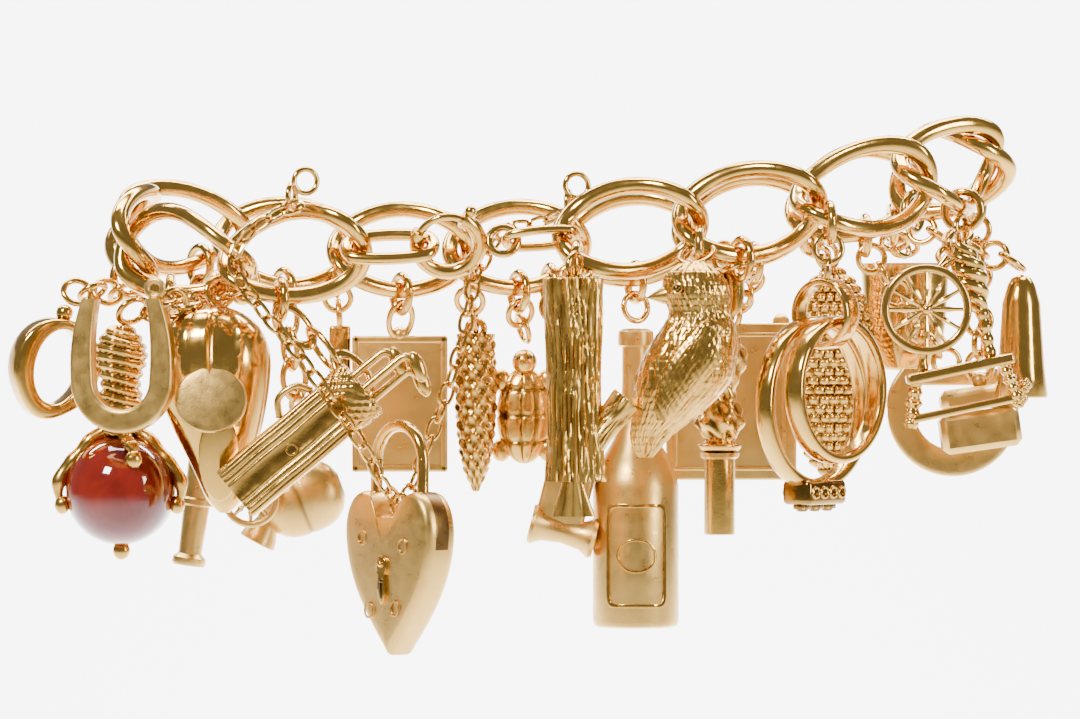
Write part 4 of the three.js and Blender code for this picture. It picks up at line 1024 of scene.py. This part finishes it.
def bottle():
    """A long-necked bottle, its plain label a raised oval in a raised frame."""
    rows = [(0.01, -31.8), (3.9, -31.8), (4.25, -31.6), (4.4, -31.1), (4.4, -17.4), (4.2, -16.4), (3.5, -14.7), (2.3, -12.6),
            (1.6, -10.2), (1.42, -7), (1.4, -3.2), (1.8, -3), (1.85, -2.3), (1.8, -1.6), (1.3, -1.3), (0.01, -1.25)]
    body = lathe_grid(rows, 96)
    bend = lambda grid: np.stack([4.45 * np.sin(grid[..., 0] / 4.45), -(4.42 + grid[..., 1]) * np.cos(grid[..., 0] / 4.45),
                                  grid[..., 2]], -1)
    frame_outline = np.abs(ellipse(1, 1, count=120)) ** 0.2 * np.sign(ellipse(1, 1, count=120))
    label = rim_grid(frame_outline * (3.0, 4.9) + (0, -24.4), frame_outline * (3.4, 5.3) + (0, -24.4), 0.3)
    oval = rim_grid(ellipse(1.9, 1.5, 0, -24.4, 80), ellipse(2.15, 1.75, 0, -24.4, 80), 0.3)
    return [body], [(bend(label), True), (bend(oval), True)]


def book():
    """A closed book standing on its spine: covers with a raised border, page edges stepped, two knobs above."""
    covers = [rounded_box_grid((13.4, 0.7, 16.2), 0.25) + (0, y, 0) for y in (-1.4, 1.4)]
    pages = [rounded_box_grid((12.4 - 0.3 * k, 0.42, 15.4 - 0.2 * k), 0.1) + (0, y, 0)
             for k, y in enumerate((-0.9, -0.45, 0, 0.45, 0.9))]
    spine = [rounded_box_grid((0.9, 3.1, 16.2), 0.4) + (6.3, 0, 0)]
    border = [rounded_box_grid((11.4, 0.5, 0.5), 0.2) + (-0.2, -1.72, z) for z in (-6.9, 6.9)]
    border += [rounded_box_grid((0.5, 0.5, 14.2), 0.2) + (x, -1.72, 0) for x in (-5.8, 5.4)]
    knobs = [ball_grid(1.8, 24, 14) + (x, 0, 8.2) for x in (-5.2, 5.2)]
    return [put(g, 0, 0, -8.8) for g in covers + spine + border + knobs], [put(g, 0, 0, -8.8) for g in pages]


def beaded_drop():
    """A flattened drop covered in rows of small beads."""
    body = loft_grid([(-23.2, 0, 0, 0.4, 0.3), (-20, 0, 0, 3, 2.2), (-14, 0, 0, 4.3, 3), (-8, 0, 0, 4.2, 3),
                      (-3.4, 0, 0, 2.8, 2.2), (-1.2, 0, 0, 0.8, 0.7)], 180, 190)
    around, along = angles_of(body)
    row = along / 0.95
    beads = np.abs(np.sin(around * 9 + np.floor(row) * math.pi / 2)) * np.abs(np.sin(row * math.pi))
    return [bumped(body, 0.42 * beads ** 0.6 - 0.2, np.clip(1 - beads * 2.4, 0, 1) * 0.85)]


def cup():
    """An oval cup with a turned-over lip and a hollow painted dark for the shade inside it."""
    rows = [(-12.7, 0, 2.75, 1.6, 1.4), (-12.2, 0, 2.75, 2.6, 2.1), (-9, 0, 2.75, 4, 2.8), (-3, 0, 2.75, 4.5, 3.1),
            (-1.6, 0, 2.75, 4.7, 3.3)]
    outside = add_painted_shade(loft_grid(rows, 80, 50)[:-1], 0)
    inside = loft_grid([(-1.6, 0, 2.75, 3.7, 2.3), (-6, 0, 2.75, 3.2, 2), (-9.6, 0, 2.75, 1.2, 0.9)], 80, 24)[1:]
    # painted shade: the inside surface is darkened by 0.8
    return [np.concatenate([outside, add_painted_shade(inside, 0.8)])]


def bell():
    """A slim glossy bell, hollow below, with its clapper."""
    rows = [(0.02, -2.2), (0.8, -2.6), (1.4, -4.6), (1.8, -10), (2.2, -13), (2.55, -13.4), (2.65, -13.2), (2.3, -10.2),
            (1.9, -4), (1.4, -2.2), (1.0, -1.5), (0.02, -1.1)]
    shell = lathe_grid(rows, 56)
    # painted shade: the first four profile rows, the inside of the shell, are darkened by 0.7
    shell = add_painted_shade(shell, np.where(np.arange(len(rows)) < 4, 0.7, 0)[:, None])
    return [shell, ball_grid(1.9, 24, 14) + (0, 0, -12.6), bar((0, 0, -2), (0, 0, -12), 0.5)]


def faceted_box():
    """A small casket with cut corners, a lid line and a lug."""
    box = [put(rounded_box_grid((8, 4.4, 4), 0.6, 2), 0, 0, -5.5, (0, -8, 0)),
           put(rounded_box_grid((8.1, 4.5, 2.3), 0.7, 2), 0, 0, -2.2, (0, -8, 0))]
    return box + [put(ball_grid(1.7), 0, 0, -0.5)]


charm("cannon", cannon(), "satin", "link_back_7", -120)
charm("whistle", whistle(), "satin", "link_back_6", -90, count=5)
charm("flat_bar", [put(rounded_box_grid((2.2, 1.6, 10.6), 0.4), 0, 0, -5.8)], "polished", "link_back_6", -135)
charm("flat_plate", flat_plate(), "satin", "link_back_5", -90)
charm("pod", pod(), "antique", "link_back_4", -50)
charm("tortoise", tortoise(), "antique", "link_back_4", -90)
charm("mallet", mallet(), "satin", "link_back_4", -112)
bottle_body, bottle_label = bottle()
charm("bottle", bottle_body, "satin", "link_back_3", -90, extra=[("label", bottle_label, "polished")])
book_cover, book_pages = book()
charm("book", book_cover, "satin", "link_back_2", -90, extra=[("pages", book_pages, "grained")])
charm("beaded_drop", beaded_drop(), "antique", "link_back_1", -50)
charm("cup", cup(), "polished", "link_back_1", -108)
charm("horseshoe_back", [horseshoe_grid(13.4, 11, 2.8, 1.6), put(rounded_box_grid((11, 1.4, 1.4), 0.3), 0, 0, -1)], "satin",
      "link_back_1", -90)
charm("faceted_box", faceted_box(), "satin", "link_right_turn", -100)
charm("bell", bell(), "polished", "link_right_turn", -55)



# ---- floor, light and camera ----
CAMERA_AT = (-3.4, -500.0, -11.45)
SEEN_WIDTH = 108.0
SENSOR = 36.0
FLOOR_GAP = 120.0


def floor_under(low):
    """A wide pale sheet a little below the lowest charm, curved up far behind."""
    y = np.concatenate([np.linspace(-900, 500, 8), 500 + 500 * np.sin(np.linspace(0.1, 1.5, 16))])
    z = np.concatenate([np.zeros(8), 500 - 500 * np.cos(np.linspace(0.1, 1.5, 16))])
    x = np.array([-1500.0, 1500.0])
    points = np.stack([x[None] + 0 * y[:, None], y[:, None] + 0 * x, z[:, None] + low + 0 * x], -1)
    rows = np.arange(len(y) - 1) * 2
    faces = np.stack([rows, rows + 1, rows + 3, rows + 2], -1)
    mesh = bpy.data.meshes.new("floor")
    mesh.from_pydata((points.reshape(-1, 3) * MM).tolist(), [], faces.tolist())
    mesh.polygons.foreach_set("use_smooth", np.ones(len(mesh.polygons), bool))
    floor = bpy.data.objects.new("floor", mesh)
    bpy.context.scene.collection.objects.link(floor)
    material, _, shader = nodes_of("pale_floor")
    shader.inputs["Base Color"].default_value = (0.95, 0.95, 0.95, 1)
    shader.inputs["Roughness"].default_value = 0.9
    mesh.materials.append(material)


def lamp(name, place, aim, size, power):
    """A soft rectangular light at a place in millimetres, facing a point."""
    light = bpy.data.lights.new(name, "AREA")
    light.shape = "RECTANGLE"
    light.size, light.size_y = size[0] * MM, size[1] * MM
    light.energy = power
    lit = bpy.data.objects.new(name, light)
    lit.location = Vector(place) * MM
    lit.rotation_euler = (Vector(aim) - Vector(place)).to_track_quat("-Z", "Y").to_euler()
    bpy.context.scene.collection.objects.link(lit)


floor_under(cad_bounds[0][2] / MM - FLOOR_GAP)
lamp("key", (-190, -260, 230), (0, 0, -10), (90, 90), 2.4)
lamp("fill", (280, -200, 60), (0, 0, -10), (50, 180), 0.9)
lamp("top", (0, 60, 320), (0, 0, -10), (300, 90), 2.0)
lamp("backdrop", (0, 320, 420), (0, 760, -40), (900, 300), 42)

world = bpy.data.worlds.new("studio")
bpy.context.scene.world = world
world.use_nodes = True
world.node_tree.nodes["Background"].inputs["Color"].default_value = (1, 1, 1, 1)
world.node_tree.nodes["Background"].inputs["Strength"].default_value = 0.25

lens = bpy.data.cameras.new("camera")
lens.sensor_width = SENSOR
lens.lens = SENSOR * -CAMERA_AT[1] / SEEN_WIDTH
lens.clip_start = 0.01
lens.clip_end = 20
camera = bpy.data.objects.new("camera", lens)
camera.location = Vector(CAMERA_AT) * MM
camera.rotation_euler = (math.pi / 2, 0, 0)
bpy.context.scene.collection.objects.link(camera)
bpy.context.scene.camera = camera
